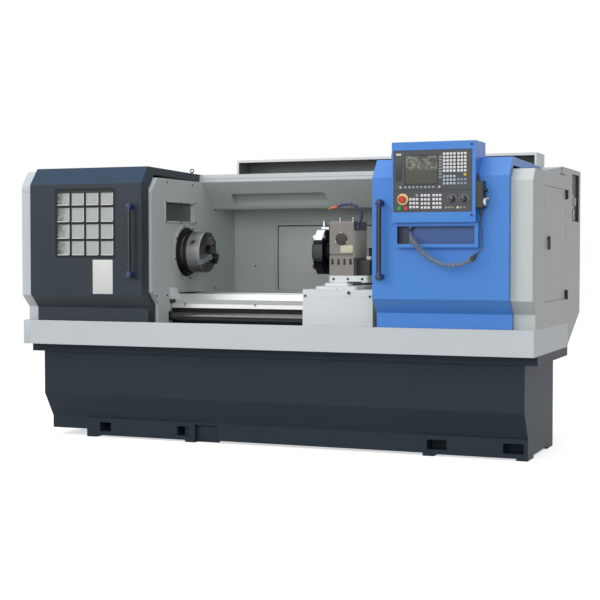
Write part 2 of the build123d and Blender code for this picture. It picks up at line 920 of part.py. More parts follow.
# Chuck body with its backplate, jaw slots and key sockets
with BuildPart() as chuck_body:
    with BuildSketch(spindle_plane):
        Polygon(
            (nose_right_x, chuck_bore_r),
            (nose_right_x, chuck_plate_r),
            (chuck_left_x, chuck_plate_r),
            (chuck_left_x, chuck_r),
            (chuck_groove_x, chuck_r),
            (chuck_groove_x, chuck_r - chuck_groove_depth),
            (chuck_groove_x + chuck_groove_width, chuck_r - chuck_groove_depth),
            (chuck_groove_x + chuck_groove_width, chuck_r),
            (chuck_right_x - chuck_round, chuck_r),
            (chuck_right_x, chuck_r - chuck_round),
            (chuck_right_x, chuck_bore_r),
            align=None,
        )
    revolve(axis=spindle_axis)
    with BuildSketch(Plane.YZ.offset(chuck_right_x + overrun)):
        with Locations((spindle_y, spindle_z)):
            with PolarLocations(0, 3, start_angle=jaw_first_angle):
                Rectangle(chuck_r + overrun, jaw_width + 2 * seat_gap, align=(Align.MIN, Align.CENTER))
    extrude(amount=-(jaw_slot_depth + overrun), mode=Mode.SUBTRACT)
    socket_x = (chuck_left_x + chuck_right_x) / 2
    for i in range(3):
        outward = Vector(0, 1, 0).rotate(Axis.X, jaw_first_angle + 60 + 120 * i)
        rim = Vector(socket_x, spindle_y, spindle_z) + outward * (chuck_r + overrun)
        with BuildSketch(Plane(origin=rim, x_dir=(1, 0, 0), z_dir=outward)):
            Circle(key_socket_r)
        extrude(amount=-(key_socket_depth + overrun), mode=Mode.SUBTRACT)
finish(chuck_body.part, "chuck_body")

# Three stepped jaws
jaw_root_x = chuck_right_x - jaw_slot_depth + seat_gap
for i in range(3):
    outward = Vector(0, 1, 0).rotate(Axis.X, jaw_first_angle + 120 * i)
    jaw_plane = Plane(
        origin=(0, spindle_y, spindle_z), x_dir=outward, z_dir=outward.cross(Vector(1, 0, 0))
    )
    jaw_first_x = chuck_right_x + jaw_first_rise
    with BuildPart() as jaw:
        with BuildSketch(jaw_plane):
            Polygon(
                (jaw_inner_r, jaw_root_x),
                (jaw_outer_r, jaw_root_x),
                (jaw_outer_r, jaw_first_x),
                (jaw_inner_r + 2 * jaw_step_length, jaw_first_x),
                (jaw_inner_r + 2 * jaw_step_length, jaw_first_x + jaw_step_rise),
                (jaw_inner_r + jaw_step_length, jaw_first_x + jaw_step_rise),
                (jaw_inner_r + jaw_step_length, jaw_first_x + 2 * jaw_step_rise),
                (jaw_inner_r, jaw_first_x + 2 * jaw_step_rise),
                align=None,
            )
        extrude(amount=jaw_width / 2, both=True)
    finish(jaw.part, f"jaw_{i + 1}")

# Ball screw of the carriage, its end blocks and its motor
with BuildPart() as z_screw:
    with BuildSketch(Plane.YZ.offset(screw_left_x)):
        with Locations((screw_y, screw_z)):
            Circle(screw_r)
    extrude(amount=screw_right_x - screw_left_x)
finish(z_screw.part, "z_screw")

with BuildPart() as screw_blocks:
    for left_x in (screw_left_x, bed_right_x - screw_block_length):
        block(
            (left_x, left_x + screw_block_length),
            (screw_block_front_y, web_front_y),
            (screw_block_bottom_z, bed_flange_bottom_z - screw_block_clear),
        )
        with BuildSketch(Plane.YZ.offset(left_x - overrun)):
            with Locations((screw_y, screw_z)):
                Circle(screw_r + seat_gap)
        extrude(amount=screw_block_length + 2 * overrun, mode=Mode.SUBTRACT)
finish(screw_blocks.part, "screw_blocks")

with BuildPart() as z_motor:
    for section_x, length, half in (
        (bed_right_x, z_motor_flange, z_motor_half),
        (bed_right_x + z_motor_flange, z_motor_length - z_motor_cap, z_motor_half - screw_block_clear),
        (bed_right_x + z_motor_length - z_motor_cap, z_motor_cap, z_motor_cap_half),
    ):
        with BuildSketch(Plane.YZ.offset(section_x)) as motor_section:
            with Locations((screw_y, screw_z)):
                Rectangle(2 * half, 2 * half)
            chamfer(motor_section.vertices(), length=half / 6)
        extrude(amount=length)
    with BuildSketch(Plane.YZ.offset(bed_right_x)):
        with Locations((screw_y, screw_z)):
            Circle(screw_r + seat_gap)
    extrude(amount=z_motor_flange, mode=Mode.SUBTRACT)
finish(z_motor.part, "z_motor")

# Fixed covers: front strip, slope, face, chamfer and roof from one folded section
cover_bottom_z = tray_floor_z + cover_bottom_lift
cover_path = [
    (cover_strip_y, cover_bottom_z),
    (cover_strip_y, cover_slope_low_z),
    (cover_face_y, cover_slope_high_z),
    (cover_face_y, cover_chamfer_low_z),
    (cover_roof_front_y, cover_roof_z),
]
rear_path = [
    (beam_back_y, cover_roof_z),
    (beam_back_y, rear_top_z),
    (rear_wall_y, rear_top_z),
    (rear_wall_y, rear_wall_bottom_z),
    (rear_lip_y, rear_lip_z),
]
rear_inside = moved_path(rear_path, [rear_sheet] * 4)
rear_inner_y = rear_wall_y - rear_sheet
bulkhead_left_x = bulkhead_x - bulkhead_sheet

cover_section = cover_path + [(rear_inner_y, cover_roof_z)]
bulkhead_path = moved_path(cover_section, [bulkhead_setback] * 4 + [0])
cover_end_x = left_door_x + door_width - door_sheet - cover_end_gap

with BuildPart() as headstock_cover:
    with BuildSketch(Plane.YZ.offset(cover_left_x)):
        Polygon(*folded(cover_section, [cover_sheet] * 5), align=None)
    extrude(amount=cover_end_x - cover_left_x)
    with BuildSketch(Plane.YZ.offset(cover_end_x)):
        Polygon(*folded(cover_section, [bulkhead_setback] * 4 + [cover_sheet]), align=None)
    extrude(amount=-cover_sheet)
    with BuildSketch(Plane.YZ.offset(bulkhead_left_x)):
        Polygon(*folded(bulkhead_path, [cover_sheet] * 5), align=None)
    extrude(amount=cover_end_x - cover_sheet - bulkhead_left_x)
    with BuildSketch(Plane.YZ.offset(cover_left_x)):
        Polygon(
            *cover_section,
            rear_inside[3],
            rear_inside[4],
            (rear_inside[4][0], cover_bottom_z),
            align=None,
        )
    extrude(amount=cover_sheet)
finish(headstock_cover.part, "headstock_cover")

# Bulkhead with its spindle opening, the way past the bed and a framed window pan
with BuildPart() as bulkhead:
    with BuildSketch(Plane.YZ.offset(bulkhead_left_x)):
        Polygon(
            *bulkhead_path,
            rear_inside[3],
            rear_inside[4],
            (rear_inside[4][0], cover_bottom_z),
            align=None,
        )
        with Locations((spindle_y, spindle_z)):
            Circle(bulkhead_hole_r, mode=Mode.SUBTRACT)
        Polygon(
            (screw_block_front_y, cover_bottom_z - overrun),
            (screw_block_front_y, screw_z + screw_r + bed_clearance),
            (bed_front_y - bed_clearance, screw_z + screw_r + bed_clearance),
            (bed_front_y - bed_clearance, way_z + bed_clearance),
            (bed_back_y + bed_clearance, way_z + bed_clearance),
            (bed_back_y + bed_clearance, cover_bottom_z - overrun),
            align=None,
            mode=Mode.SUBTRACT,
        )
    extrude(amount=bulkhead_sheet)
    pan_y = (window_front_y - window_frame, window_back_y + window_frame)
    pan_z = (window_low_z - window_frame, window_high_z + window_frame)
    block((bulkhead_x - window_pan_depth, bulkhead_x + window_proud), pan_y, pan_z)
    block(
        (bulkhead_x - window_pan_depth + bulkhead_sheet, bulkhead_x + window_proud + overrun),
        (window_front_y, window_back_y),
        (window_low_z, window_high_z),
        Mode.SUBTRACT,
    )
finish(bulkhead.part, "bulkhead")

# Dark collar round the spindle opening
with BuildPart() as spindle_collar:
    with BuildSketch(Plane.YZ.offset(bulkhead_x)):
        with Locations((spindle_y, spindle_z)):
            Circle(collar_outer_r)
            Circle(collar_inner_r, mode=Mode.SUBTRACT)
    extrude(amount=collar_length)
finish(spindle_collar.part, "spindle_collar")

# Right cover with the end panel that holds the side door
right_cover_path = cover_path + [(cabinet_front_y, cover_roof_z)]
with BuildPart() as right_cover:
    with BuildSketch(Plane.YZ.offset(right_cover_left_x)):
        Polygon(*folded(right_cover_path, [cover_sheet] * 5), align=None)
    extrude(amount=end_panel_x - right_cover_left_x)
    with BuildSketch(Plane.YZ.offset(end_panel_x - cover_sheet)):
        Polygon(
            *cover_path,
            (end_panel_rise_y, cover_roof_z),
            (end_panel_level_y, rear_top_z),
            (end_panel_back_y, rear_top_z),
            (end_panel_back_y, cover_bottom_z),
            align=None,
        )
    extrude(amount=cover_sheet)
    block(
        (end_panel_x - cover_sheet - overrun, end_panel_x + overrun),
        (side_door_front_y - side_door_gap, side_door_back_y + side_door_gap),
        (side_door_low_z - side_door_gap, side_door_high_z + side_door_gap),
        Mode.SUBTRACT,
    )
    block(
        (right_cover_left_x - overrun, end_panel_x + overrun),
        (beam_front_y - side_door_gap, beam_back_y + side_door_gap),
        (cover_roof_z, beam_top_z + side_door_gap),
        Mode.SUBTRACT,
    )
finish(right_cover.part, "right_cover")

# Beam under the door roofs
with BuildPart() as top_beam:
    with BuildSketch(Plane.YZ.offset(cover_left_x)):
        with Locations(((beam_front_y + beam_back_y) / 2, (cover_roof_z + beam_top_z) / 2)):
            Rectangle(beam_back_y - beam_front_y, beam_top_z - cover_roof_z)
            Rectangle(
                beam_back_y - beam_front_y - 2 * beam_wall,
                beam_top_z - cover_roof_z - 2 * beam_wall,
                mode=Mode.SUBTRACT,
            )
    extrude(amount=end_panel_x - cover_left_x)
finish(top_beam.part, "top_beam")

# Rear wall: top, back and chip slope in one fold, with the lamp hood and a raised hatch
hood_top = Vector(0, beam_front_y, cover_roof_z)
hood_low = Vector(0, hood_low_y, hood_low_z)
hood_side = (hood_low - hood_top).normalized()
hood_normal = Vector(1, 0, 0).cross(hood_side)
lamp_center_x = lamp_left_x + lamp_length / 2
lamp_center = (hood_top + hood_low) * (1 / 2) + hood_side * lamp_offset
lamp_plane = Plane(
    origin=(lamp_center_x, lamp_center.Y, lamp_center.Z), x_dir=(1, 0, 0), z_dir=hood_normal
)
with BuildPart() as back_wall:
    with BuildSketch(Plane.YZ.offset(cover_left_x)):
        Polygon(*folded(rear_path, [rear_sheet] * 4), align=None)
    extrude(amount=rear_right_x - cover_left_x)
    with BuildSketch(Plane.YZ.offset(bulkhead_x)):
        Polygon(
            *folded(
                [
                    (beam_back_y + rear_sheet, cover_roof_z),
                    (beam_front_y, cover_roof_z),
                    (hood_low_y, hood_low_z),
                    (rear_inner_y, hood_low_z),
                ],
                [-rear_sheet] * 3,
            ),
            align=None,
        )
    extrude(amount=right_cover_left_x - bulkhead_x)
    block(
        (hatch_left_x, hatch_right_x),
        (rear_inner_y - hatch_proud, rear_inner_y),
        (hatch_low_z, hatch_high_z),
    )
    with BuildSketch(lamp_plane):
        RectangleRounded(lamp_length, lamp_height, lamp_corner)
    extrude(amount=rear_sheet + overrun, both=True, mode=Mode.SUBTRACT)
finish(back_wall.part, "back_wall")

# Lamp behind the hood, its diffuser at the bottom of a deep pan
lamp_seat = lamp_plane.offset(rear_sheet + seat_gap)
with BuildPart() as work_lamp:
    with BuildSketch(lamp_seat):
        RectangleRounded(lamp_length + 2 * lamp_wall, lamp_height + 2 * lamp_wall, lamp_corner + lamp_wall)
    extrude(amount=lamp_depth)
    with BuildSketch(lamp_seat):
        RectangleRounded(lamp_length, lamp_height, lamp_corner)
    extrude(amount=lamp_recess, mode=Mode.SUBTRACT)
finish(work_lamp.part, "work_lamp")

# Roof duct, open at the front, with closed ends
duct_path = [
    (duct_front_y, rear_top_z),
    (rear_wall_y, rear_top_z),
    (rear_wall_y, duct_top_z),
    (duct_front_y, duct_top_z),
    (duct_front_y, duct_top_z - duct_lip),
]
with BuildPart() as cable_duct:
    with BuildSketch(Plane.YZ.offset(duct_left_x)):
        Polygon(*folded(duct_path, [-duct_sheet] * 4), align=None)
    extrude(amount=duct_right_x - duct_left_x)
    for left_x in (duct_left_x, duct_right_x - duct_sheet):
        block(
            (left_x, left_x + duct_sheet),
            (duct_front_y, rear_wall_y),
            (rear_top_z, duct_top_z),
        )
finish(cable_duct.part, "cable_duct")

# Electrical cabinet with a slanted floor and the isolator recess in its right side
with BuildPart() as electrical_cabinet:
    with BuildSketch(Plane.YZ.offset(cabinet_left_x)):
        Polygon(
            (cabinet_front_y, cabinet_step_z),
            (cabinet_front_y, rear_top_z),
            (cabinet_back_y, rear_top_z),
            (cabinet_back_y, cabinet_back_low_z),
            (cabinet_step_y, cabinet_low_z),
            (cabinet_step_y, cabinet_step_z),
            align=None,
        )
    extrude(amount=cabinet_length)
    downward = electrical_cabinet.faces().filter_by(lambda face: face.normal_at().Z < -1 / 2)
    offset(amount=-cabinet_sheet, openings=downward.sort_by(SortBy.AREA)[-1])
    block(
        (cabinet_right_x - recess_depth - cabinet_sheet, cabinet_right_x),
        (recess_front_y - cabinet_sheet, recess_back_y + cabinet_sheet),
        (recess_low_z - cabinet_sheet, recess_high_z + cabinet_sheet),
    )
    block(
        (cabinet_right_x - recess_depth, cabinet_right_x + overrun),
        (recess_front_y, recess_back_y),
        (recess_low_z, recess_high_z),
        Mode.SUBTRACT,
    )
finish(electrical_cabinet.part, "electrical_cabinet")

# Isolator, a round base with a grip bar across it
isolator_x = cabinet_right_x - recess_depth + seat_gap
with BuildPart() as isolator_switch:
    with BuildSketch(Plane.YZ.offset(isolator_x)):
        with Locations((isolator_y, isolator_z)):
            Circle(isolator_r)
    extrude(amount=isolator_ring)
    with BuildSketch(Plane.YZ.offset(isolator_x + isolator_ring)):
        with Locations((isolator_y, isolator_z)):
            SlotOverall(isolator_grip_length, isolator_grip_width, rotation=90)
    extrude(amount=isolator_grip_height)
finish(isolator_switch.part, "isolator_switch")

# Side door, a flat sheet with two hinge barrels
hinge_x = end_panel_x + hinge_offset
hinge_heights = (lower_hinge_z, upper_hinge_z)
with BuildPart() as side_door:
    block(
        (end_panel_x - cover_sheet, end_panel_x),
        (side_door_front_y, side_door_back_y),
        (side_door_low_z, side_door_high_z),
    )
    for z in hinge_heights:
        block(
            (end_panel_x, end_panel_x + hinge_leaf),
            (hinge_y - hinge_leaf_width, hinge_y),
            (z + seat_gap, z + hinge_half),
        )
        with Locations((hinge_x, hinge_y, z + seat_gap)):
            Cylinder(hinge_r, hinge_half - seat_gap, align=(Align.CENTER, Align.CENTER, Align.MIN))
            Cylinder(
                hinge_pin_r + running_gap,
                hinge_half,
                align=(Align.CENTER, Align.CENTER, Align.MIN),
                mode=Mode.SUBTRACT,
            )
finish(side_door.part, "side_door")

# Fixed hinge halves with their pins, on the cabinet side
with BuildPart() as side_door_hinges:
    for z in hinge_heights:
        block(
            (end_panel_x, end_panel_x + hinge_leaf),
            (hinge_y, hinge_y + hinge_leaf_width),
            (z - hinge_half, z),
        )
        with Locations((hinge_x, hinge_y, z - hinge_half)):
            Cylinder(hinge_r, hinge_half, align=(Align.CENTER, Align.CENTER, Align.MIN))
            Cylinder(hinge_pin_r, 2 * hinge_half, align=(Align.CENTER, Align.CENTER, Align.MIN))
finish(side_door_hinges.part, "side_door_hinges")

# Latch handle of the side door, a lever on a round boss
with BuildPart() as side_door_handle:
    with BuildSketch(Plane.YZ.offset(end_panel_x + seat_gap)):
        with Locations((latch_y, latch_z)):
            Circle(latch_boss_r)
    extrude(amount=latch_plate)
    with BuildSketch(Plane.YZ.offset(end_panel_x + seat_gap + latch_plate)):
        with Locations((latch_y, latch_z - latch_length / 2 + latch_width / 2)):
            SlotOverall(latch_length, latch_width, rotation=90)
    extrude(amount=latch_lever)
finish(side_door_handle.part, "side_door_handle")

# Saddle: wings that pass either side of the tailstock, a bridge, and a groove for the prism way
prism_slope = (prism_half_base - prism_half_top) / (way_z - prism_base_z)
groove_half = prism_half_top + (way_z + slide_gap - saddle_skirt_z) * prism_slope
wing_front_y = spindle_y - tail_foot_half - wing_clearance
wing_back_y = spindle_y + tail_foot_half + wing_clearance
with BuildPart() as saddle:
    with BuildSketch(Plane.YZ.offset(carriage_left_x)):
        Polygon(
            (apron_front_y, apron_top_z),
            (apron_front_y, saddle_top_z),
            (saddle_back_y, saddle_top_z),
            (saddle_back_y, way_z + slide_gap),
            (wing_front_y, way_z + slide_gap),
            (wing_front_y, saddle_skirt_z),
            (prism_y + groove_half, saddle_skirt_z),
            (prism_y + prism_half_top, way_z + slide_gap),
            (prism_y - prism_half_top, way_z + slide_gap),
            (prism_y - groove_half, saddle_skirt_z),
            (bed_front_y - bed_side_gap, saddle_skirt_z),
            (bed_front_y - bed_side_gap, apron_top_z),
            align=None,
        )
    extrude(amount=carriage_length)
    for limits_x in (
        (carriage_left_x - overrun, bridge_left_x),
        (bridge_right_x, carriage_right_x + overrun),
    ):
        block(
            limits_x,
            (wing_front_y, wing_back_y),
            (way_z - overrun, saddle_top_z + overrun),
            Mode.SUBTRACT,
        )
finish(saddle.part, "saddle")

# Apron with the screw nut reaching under the bed flange
with BuildPart() as apron:
    with BuildSketch(Plane.YZ.offset(carriage_left_x)):
        Polygon(
            (apron_front_y, apron_bottom_z),
            (apron_front_y, apron_top_z),
            (bed_front_y - bed_side_gap, apron_top_z),
            (bed_front_y - bed_side_gap, nut_top_z),
            (nut_back_y, nut_top_z),
            (nut_back_y, apron_bottom_z),
            align=None,
        )
        with Locations((screw_y, screw_z)):
            Circle(screw_r + seat_gap, mode=Mode.SUBTRACT)
    extrude(amount=carriage_length)
    fillet(apron.edges().filter_by(Axis.X).group_by(Axis.Z)[0], radius=apron_round)
finish(apron.part, "apron")

# Cross slide with stepped guards and the plate under the turret
slide_base_z = saddle_top_z + slide_gap
slide_mid_z = slide_base_z + slide_low_height
slide_top_z = slide_mid_z + slide_mid_height
turret_base_z = slide_top_z + slide_top_height
with BuildPart() as cross_slide:
    block(
        (slide_low_left_x, slide_low_left_x + slide_low_length),
        (slide_front_y, slide_back_y),
        (slide_base_z, slide_mid_z),
    )
    block(
        (slide_mid_left_x, slide_mid_left_x + slide_mid_length),
        (slide_mid_front_y, slide_back_y),
        (slide_mid_z, slide_top_z),
    )
    block(
        (slide_top_left_x, slide_top_left_x + slide_top_length),
        (slide_top_front_y, slide_back_y),
        (slide_top_z, turret_base_z),
    )
    upright = cross_slide.edges().filter_by(Axis.Z)
    chamfer(upright.filter_by_position(Axis.Y, slide_front_y, slide_top_front_y), length=slide_corner)
finish(cross_slide.part, "cross_slide")

# Turret body with its round cover, a neck groove and bolt notches at the foot
turret_body_center_x = (turret_body_left_x + turret_body_right_x) / 2
with BuildPart() as turret_body:
    block(
        (turret_body_left_x, turret_body_right_x),
        (turret_body_front_y, turret_body_back_y),
        (turret_base_z, turret_body_top_z),
    )
    fillet(turret_body.edges().filter_by(Axis.X).group_by(Axis.Z)[-1], radius=turret_body_round)
    block(
        (turret_body_left_x - overrun, turret_body_right_x + overrun),
        (turret_body_front_y - overrun, turret_body_front_y + turret_neck_depth),
        (turret_neck_z, turret_neck_z + turret_neck_height),
        Mode.SUBTRACT,
    )
    with Locations((turret_body_center_x, turret_body_front_y, turret_notch_z)):
        with GridLocations(turret_body_width / turret_notches, overrun, turret_notches, 1):
            Box(turret_notch_width, 2 * turret_notch_depth, turret_notch_height, mode=Mode.SUBTRACT)
    with BuildSketch(Plane.XZ.offset(-turret_body_front_y)):
        with Locations((turret_body_center_x, turret_cover_z)):
            Circle(turret_cover_r)
    extrude(amount=turret_cover_proud)
finish(turret_body.part, "turret_body")

# Turret motor beside the body
with BuildPart() as turret_motor:
    block(
        (turret_body_right_x, turret_body_right_x + turret_motor_length),
        (turret_motor_front_y, turret_motor_back_y),
        (turret_base_z, turret_base_z + turret_motor_height),
    )
    fillet(turret_motor.edges().filter_by(Axis.X).group_by(Axis.Z)[-1], radius=turret_motor_round)
finish(turret_motor.part, "turret_motor")

# Turret disc with one tool slot in each flat
turret_apothem = turret_flats / 2
half_station = 180 / turret_stations
with BuildPart() as turret_disc:
    with BuildSketch(Plane.YZ.offset(turret_disc_left_x)):
        with Locations((turret_y, spindle_z)):
            RegularPolygon(turret_apothem, turret_stations, major_radius=False, rotation=half_station)
            with PolarLocations(turret_apothem, turret_stations):
                Rectangle(2 * station_slot_depth, station_slot_width, mode=Mode.SUBTRACT)
    extrude(amount=turret_disc_thickness)
    with BuildSketch(Plane.YZ.offset(disc_right_x)):
        with Locations((turret_y, spindle_z)):
            Circle(turret_hub_r)
    extrude(amount=turret_hub_length - seat_gap)
    with BuildSketch(Plane.YZ.offset(turret_disc_left_x)):
        with Locations((turret_y, spindle_z)):
            Circle(turret_boss_r)
    extrude(amount=-turret_boss_length)
finish(turret_disc.part, "turret_disc")

# Turning tools in every other slot, each under its clamp
tool_floor_r = turret_apothem - station_slot_depth
with BuildPart() as tool_blocks:
    with BuildSketch(Plane.YZ.offset(turret_disc_left_x - tool_overhang)):
        with Locations((turret_y, spindle_z)):
            with PolarLocations(tool_floor_r, turret_stations // 2, start_angle=2 * half_station):
                Rectangle(station_slot_depth, tool_shank, align=(Align.MIN, Align.CENTER))
    extrude(amount=turret_disc_thickness + tool_overhang)
    with BuildSketch(Plane.YZ.offset(turret_disc_left_x + tool_clamp_inset)):
        with Locations((turret_y, spindle_z)):
            with PolarLocations(turret_apothem, turret_stations // 2, start_angle=2 * half_station):
                Rectangle(tool_clamp_height, tool_clamp_width, align=(Align.MIN, Align.CENTER))
    extrude(amount=turret_disc_thickness - 2 * tool_clamp_inset)
finish(tool_blocks.part, "tool_blocks")

# Coolant hose: segments that plug into each other, from a fitting on the turret to the nozzle
with BuildLine(Plane.XZ.offset(-hose_y)) as hose_path:
    hose_arc = ThreePointArc(
        (turret_body_right_x + hose_start_reach, hose_start_z),
        (turret_body_right_x + hose_bulge_reach, hose_bulge_z),
        (turret_body_right_x + hose_top_reach, hose_top_z),
    )
    TangentArc(hose_arc @ 1, (turret_body_right_x + hose_end_reach, hose_end_z), tangent=hose_arc % 1)
hose_wire = hose_path.wire()
with BuildPart() as coolant_hose:
    block(
        (turret_body_right_x, turret_body_right_x + hose_fitting),
        (hose_y - hose_fitting / 2, hose_y + hose_fitting / 2),
        (hose_start_z - hose_fitting_height, hose_start_z),
    )
    for i in range(hose_segments):
        root = hose_wire @ (i / hose_segments)
        tip = hose_wire @ ((i + 1) / hose_segments)
        overlap = hose_overlap if i < hose_segments - 1 else 0
        with Locations(Plane(origin=root, z_dir=tip - root)):
            Cone(
                hose_socket_r,
                hose_neck_r,
                (tip - root).length + overlap,
                align=(Align.CENTER, Align.CENTER, Align.MIN),
            )
finish(coolant_hose.part, "coolant_hose")

nozzle_plane = Plane(origin=tip, z_dir=tip - root)
with BuildPart() as coolant_nozzle:
    with Locations(nozzle_plane):
        Cone(nozzle_root_r, nozzle_tip_r, nozzle_length, align=(Align.CENTER, Align.CENTER, Align.MIN))
    with BuildSketch(nozzle_plane.offset(nozzle_length)):
        Circle(nozzle_bore_r)
    extrude(amount=-nozzle_length / 2, mode=Mode.SUBTRACT)
finish(coolant_nozzle.part, "coolant_nozzle")

# Tailstock body on the inner ways
tail_foot_z = inner_way_z + slide_gap
with BuildPart() as tailstock_body:
    with BuildSketch(Plane.YZ.offset(tail_left_x)):
        with Locations((spindle_y, tail_foot_z + tail_foot_height / 2)):
            Rectangle(2 * tail_foot_half, tail_foot_height)
        with Locations((spindle_y, spindle_z)):
            Circle(tail_barrel_r)
        make_hull()
    extrude(amount=tail_length)
    with BuildSketch(Plane.YZ.offset(tail_left_x)):
        with Locations((spindle_y, spindle_z)):
            Circle(quill_r + running_gap)
    extrude(amount=tail_length - quill_bore_wall, mode=Mode.SUBTRACT)
    with BuildSketch(Plane.YZ.offset(tail_left_x)):
        with Locations((spindle_y, spindle_z)):
            Circle(feed_screw_r + running_gap)
    extrude(amount=tail_length, mode=Mode.SUBTRACT)
finish(tailstock_body.part, "tailstock_body")

# Quill with its centre, bored for the feed screw
with BuildPart() as quill:
    with BuildSketch(spindle_plane):
        Polygon(
            (quill_left_x - centre_length, 0),
            (quill_left_x - centre_length / 3, centre_r),
            (quill_left_x, centre_r),
            (quill_left_x, quill_r),
            (quill_left_x + quill_length, quill_r),
            (quill_left_x + quill_length, feed_screw_r + seat_gap),
            (feed_screw_left_x - overrun, feed_screw_r + seat_gap),
            (feed_screw_left_x - overrun, 0),
            align=None,
        )
    revolve(axis=spindle_axis)
finish(quill.part, "quill")

# Tailstock handwheel with its feed screw, rim, spokes and knob
rim_mid_r = wheel_r - wheel_rim
wheel_right_x = wheel_left_x + wheel_width
with BuildPart() as tailstock_handwheel:
    with BuildSketch(spindle_plane):
        Polygon(
            (feed_screw_left_x, 0),
            (feed_screw_left_x, feed_screw_r),
            (wheel_hub_left_x, feed_screw_r),
            (wheel_hub_left_x, wheel_hub_r),
            (wheel_right_x, wheel_hub_r),
            (wheel_right_x, 0),
            align=None,
        )
    revolve(axis=spindle_axis)
    with BuildSketch(Plane.YZ.offset(wheel_left_x)):
        with Locations((spindle_y, spindle_z)):
            Circle(wheel_r)
            Circle(wheel_r - 2 * wheel_rim, mode=Mode.SUBTRACT)
            with PolarLocations(0, wheel_spokes, start_angle=jaw_first_angle):
                Rectangle(rim_mid_r, wheel_spoke_width, align=(Align.MIN, Align.CENTER))
    extrude(amount=wheel_width)
    with BuildSketch(Plane.YZ.offset(wheel_right_x)):
        with Locations((spindle_y, spindle_z + rim_mid_r)):
            Circle(wheel_knob_r)
    extrude(amount=wheel_knob_length)
finish(tailstock_handwheel.part, "tailstock_handwheel")

# Sliding doors: strip, slope, face, chamfer and roof from one folded section
door_path = [
    (door_strip_y, door_bottom_z),
    (door_strip_y, door_slope_low_z),
    (door_face_y, door_slope_high_z),
    (door_face_y, door_chamfer_low_z),
    (door_strip_y, door_roof_front_z),
]
roof_slope = (door_roof_back_z - door_roof_front_z) / (door_roof_back_y - door_strip_y)
flange_end_z = door_roof_front_z + roof_slope * (door_flange_back_y - door_strip_y)
door_flanges = [strip_flange, slope_flange, face_flange, face_flange, roof_flange]
deep_flanges = [deep_strip_flange, deep_slope_flange, deep_face_flange, deep_face_flange, roof_flange]


def door_shell(left_x, right_flanges):
    """One door sheet with a flange along each upright end."""
    with BuildPart() as shell:
        with BuildSketch(Plane.YZ.offset(left_x)):
            Polygon(
                *folded(door_path + [(door_roof_back_y, door_roof_back_z)], [door_sheet] * 5), align=None
            )
        extrude(amount=door_width)
        for end_x, flanges in ((left_x, door_flanges), (left_x + door_width - door_sheet, right_flanges)):
            with BuildSketch(Plane.YZ.offset(end_x)):
                Polygon(*folded(door_path + [(door_flange_back_y, flange_end_z)], flanges), align=None)
            extrude(amount=door_sheet)
    return shell.part


# Left door with its grid of panes
pane_pitch = pane_size + pane_bar
window_size = pane_count * pane_pitch - pane_bar
with BuildPart() as left_door:
    add(door_shell(left_door_x, deep_flanges))
    with BuildSketch(Plane.XZ.offset(-door_face_y)):
        with Locations((window_center_x, window_center_z)):
            with GridLocations(pane_pitch, pane_pitch, pane_count, pane_count):
                Rectangle(pane_size, pane_size)
    extrude(amount=-(door_sheet + overrun), mode=Mode.SUBTRACT)
finish(left_door.part, "left_door")

with BuildPart() as left_door_window:
    with BuildSketch(Plane.XZ.offset(-door_face_y - door_sheet)):
        with Locations((window_center_x, window_center_z)):
            Rectangle(window_size + 2 * window_overlap, window_size + 2 * window_overlap)
    extrude(amount=-window_glass)
finish(left_door_window.part, "left_door_window")

with BuildPart() as right_door:
    add(door_shell(right_door_x, door_flanges))
finish(right_door.part, "right_door")


def door_handle(center_x):
    """A pull bar between two moulded ends that stand on the door face."""
    bar_y = door_face_y - handle_reach
    with BuildPart() as handle:
        for low_z in (handle_bottom_z, handle_bottom_z + handle_length - handle_end_length):
            block(
                (center_x - handle_end_width / 2, center_x + handle_end_width / 2),
                (bar_y - handle_end_width / 2, door_face_y),
                (low_z, low_z + handle_end_length),
            )
        chamfer(handle.edges().filter_by(Axis.Y), length=handle_end_bevel)
        with BuildSketch(Plane.XY.offset(handle_bottom_z + handle_end_length / 2)):
            with Locations((center_x, bar_y)):
                Circle(handle_tube_r)
        extrude(amount=handle_length - handle_end_length)
    return handle.part


finish(door_handle(left_handle_x), "left_door_handle")
finish(door_handle(right_handle_x), "right_door_handle")

# Control box, seated on the door's face, chamfer and roof, with the pocket below it
box_back_z = door_roof_front_z + roof_slope * (box_back_y - door_strip_y)
box_outline = [
    (box_front_y, box_low_z),
    (box_front_y, box_high_z),
    (box_back_y, box_high_z),
    (box_back_y, box_back_z),
    (door_strip_y, door_roof_front_z),
    (door_face_y, door_chamfer_low_z),
    (door_face_y, box_low_z),
]
panel_front_y = box_front_y + panel_recess
gland_y = (pocket_front_y + door_face_y) / 2
with BuildPart() as control_box:
    with BuildSketch(Plane.YZ.offset(box_left_x)):
        Polygon(*box_outline, align=None)
    extrude(amount=box_width)
    offset(amount=-box_sheet, openings=control_box.faces().sort_by(Axis.Y)[0])
    with BuildSketch(Plane.XZ.offset(-box_front_y)):
        with Locations(((box_left_x + box_right_x) / 2, (box_low_z + box_high_z) / 2)):
            Rectangle(box_right_x - box_left_x, box_high_z - box_low_z)
        with Locations(((panel_left_x + panel_right_x) / 2, (panel_low_z + panel_high_z) / 2)):
            Rectangle(
                panel_right_x - panel_left_x + 2 * seat_gap,
                panel_high_z - panel_low_z + 2 * seat_gap,
                mode=Mode.SUBTRACT,
            )
    extrude(amount=-box_sheet)
    block((pocket_left_x, pocket_right_x), (pocket_front_y, door_face_y), (pocket_low_z, box_low_z))
    block(
        (pocket_open_left_x, pocket_open_right_x),
        (pocket_front_y - overrun, door_face_y - pocket_lip),
        (pocket_open_low_z, pocket_open_high_z),
        Mode.SUBTRACT,
    )
    with Locations((gland_x, gland_y, pocket_open_high_z)):
        Cylinder(gland_r, gland_length, align=(Align.CENTER, Align.CENTER, Align.MAX))
finish(control_box.part, "control_box")

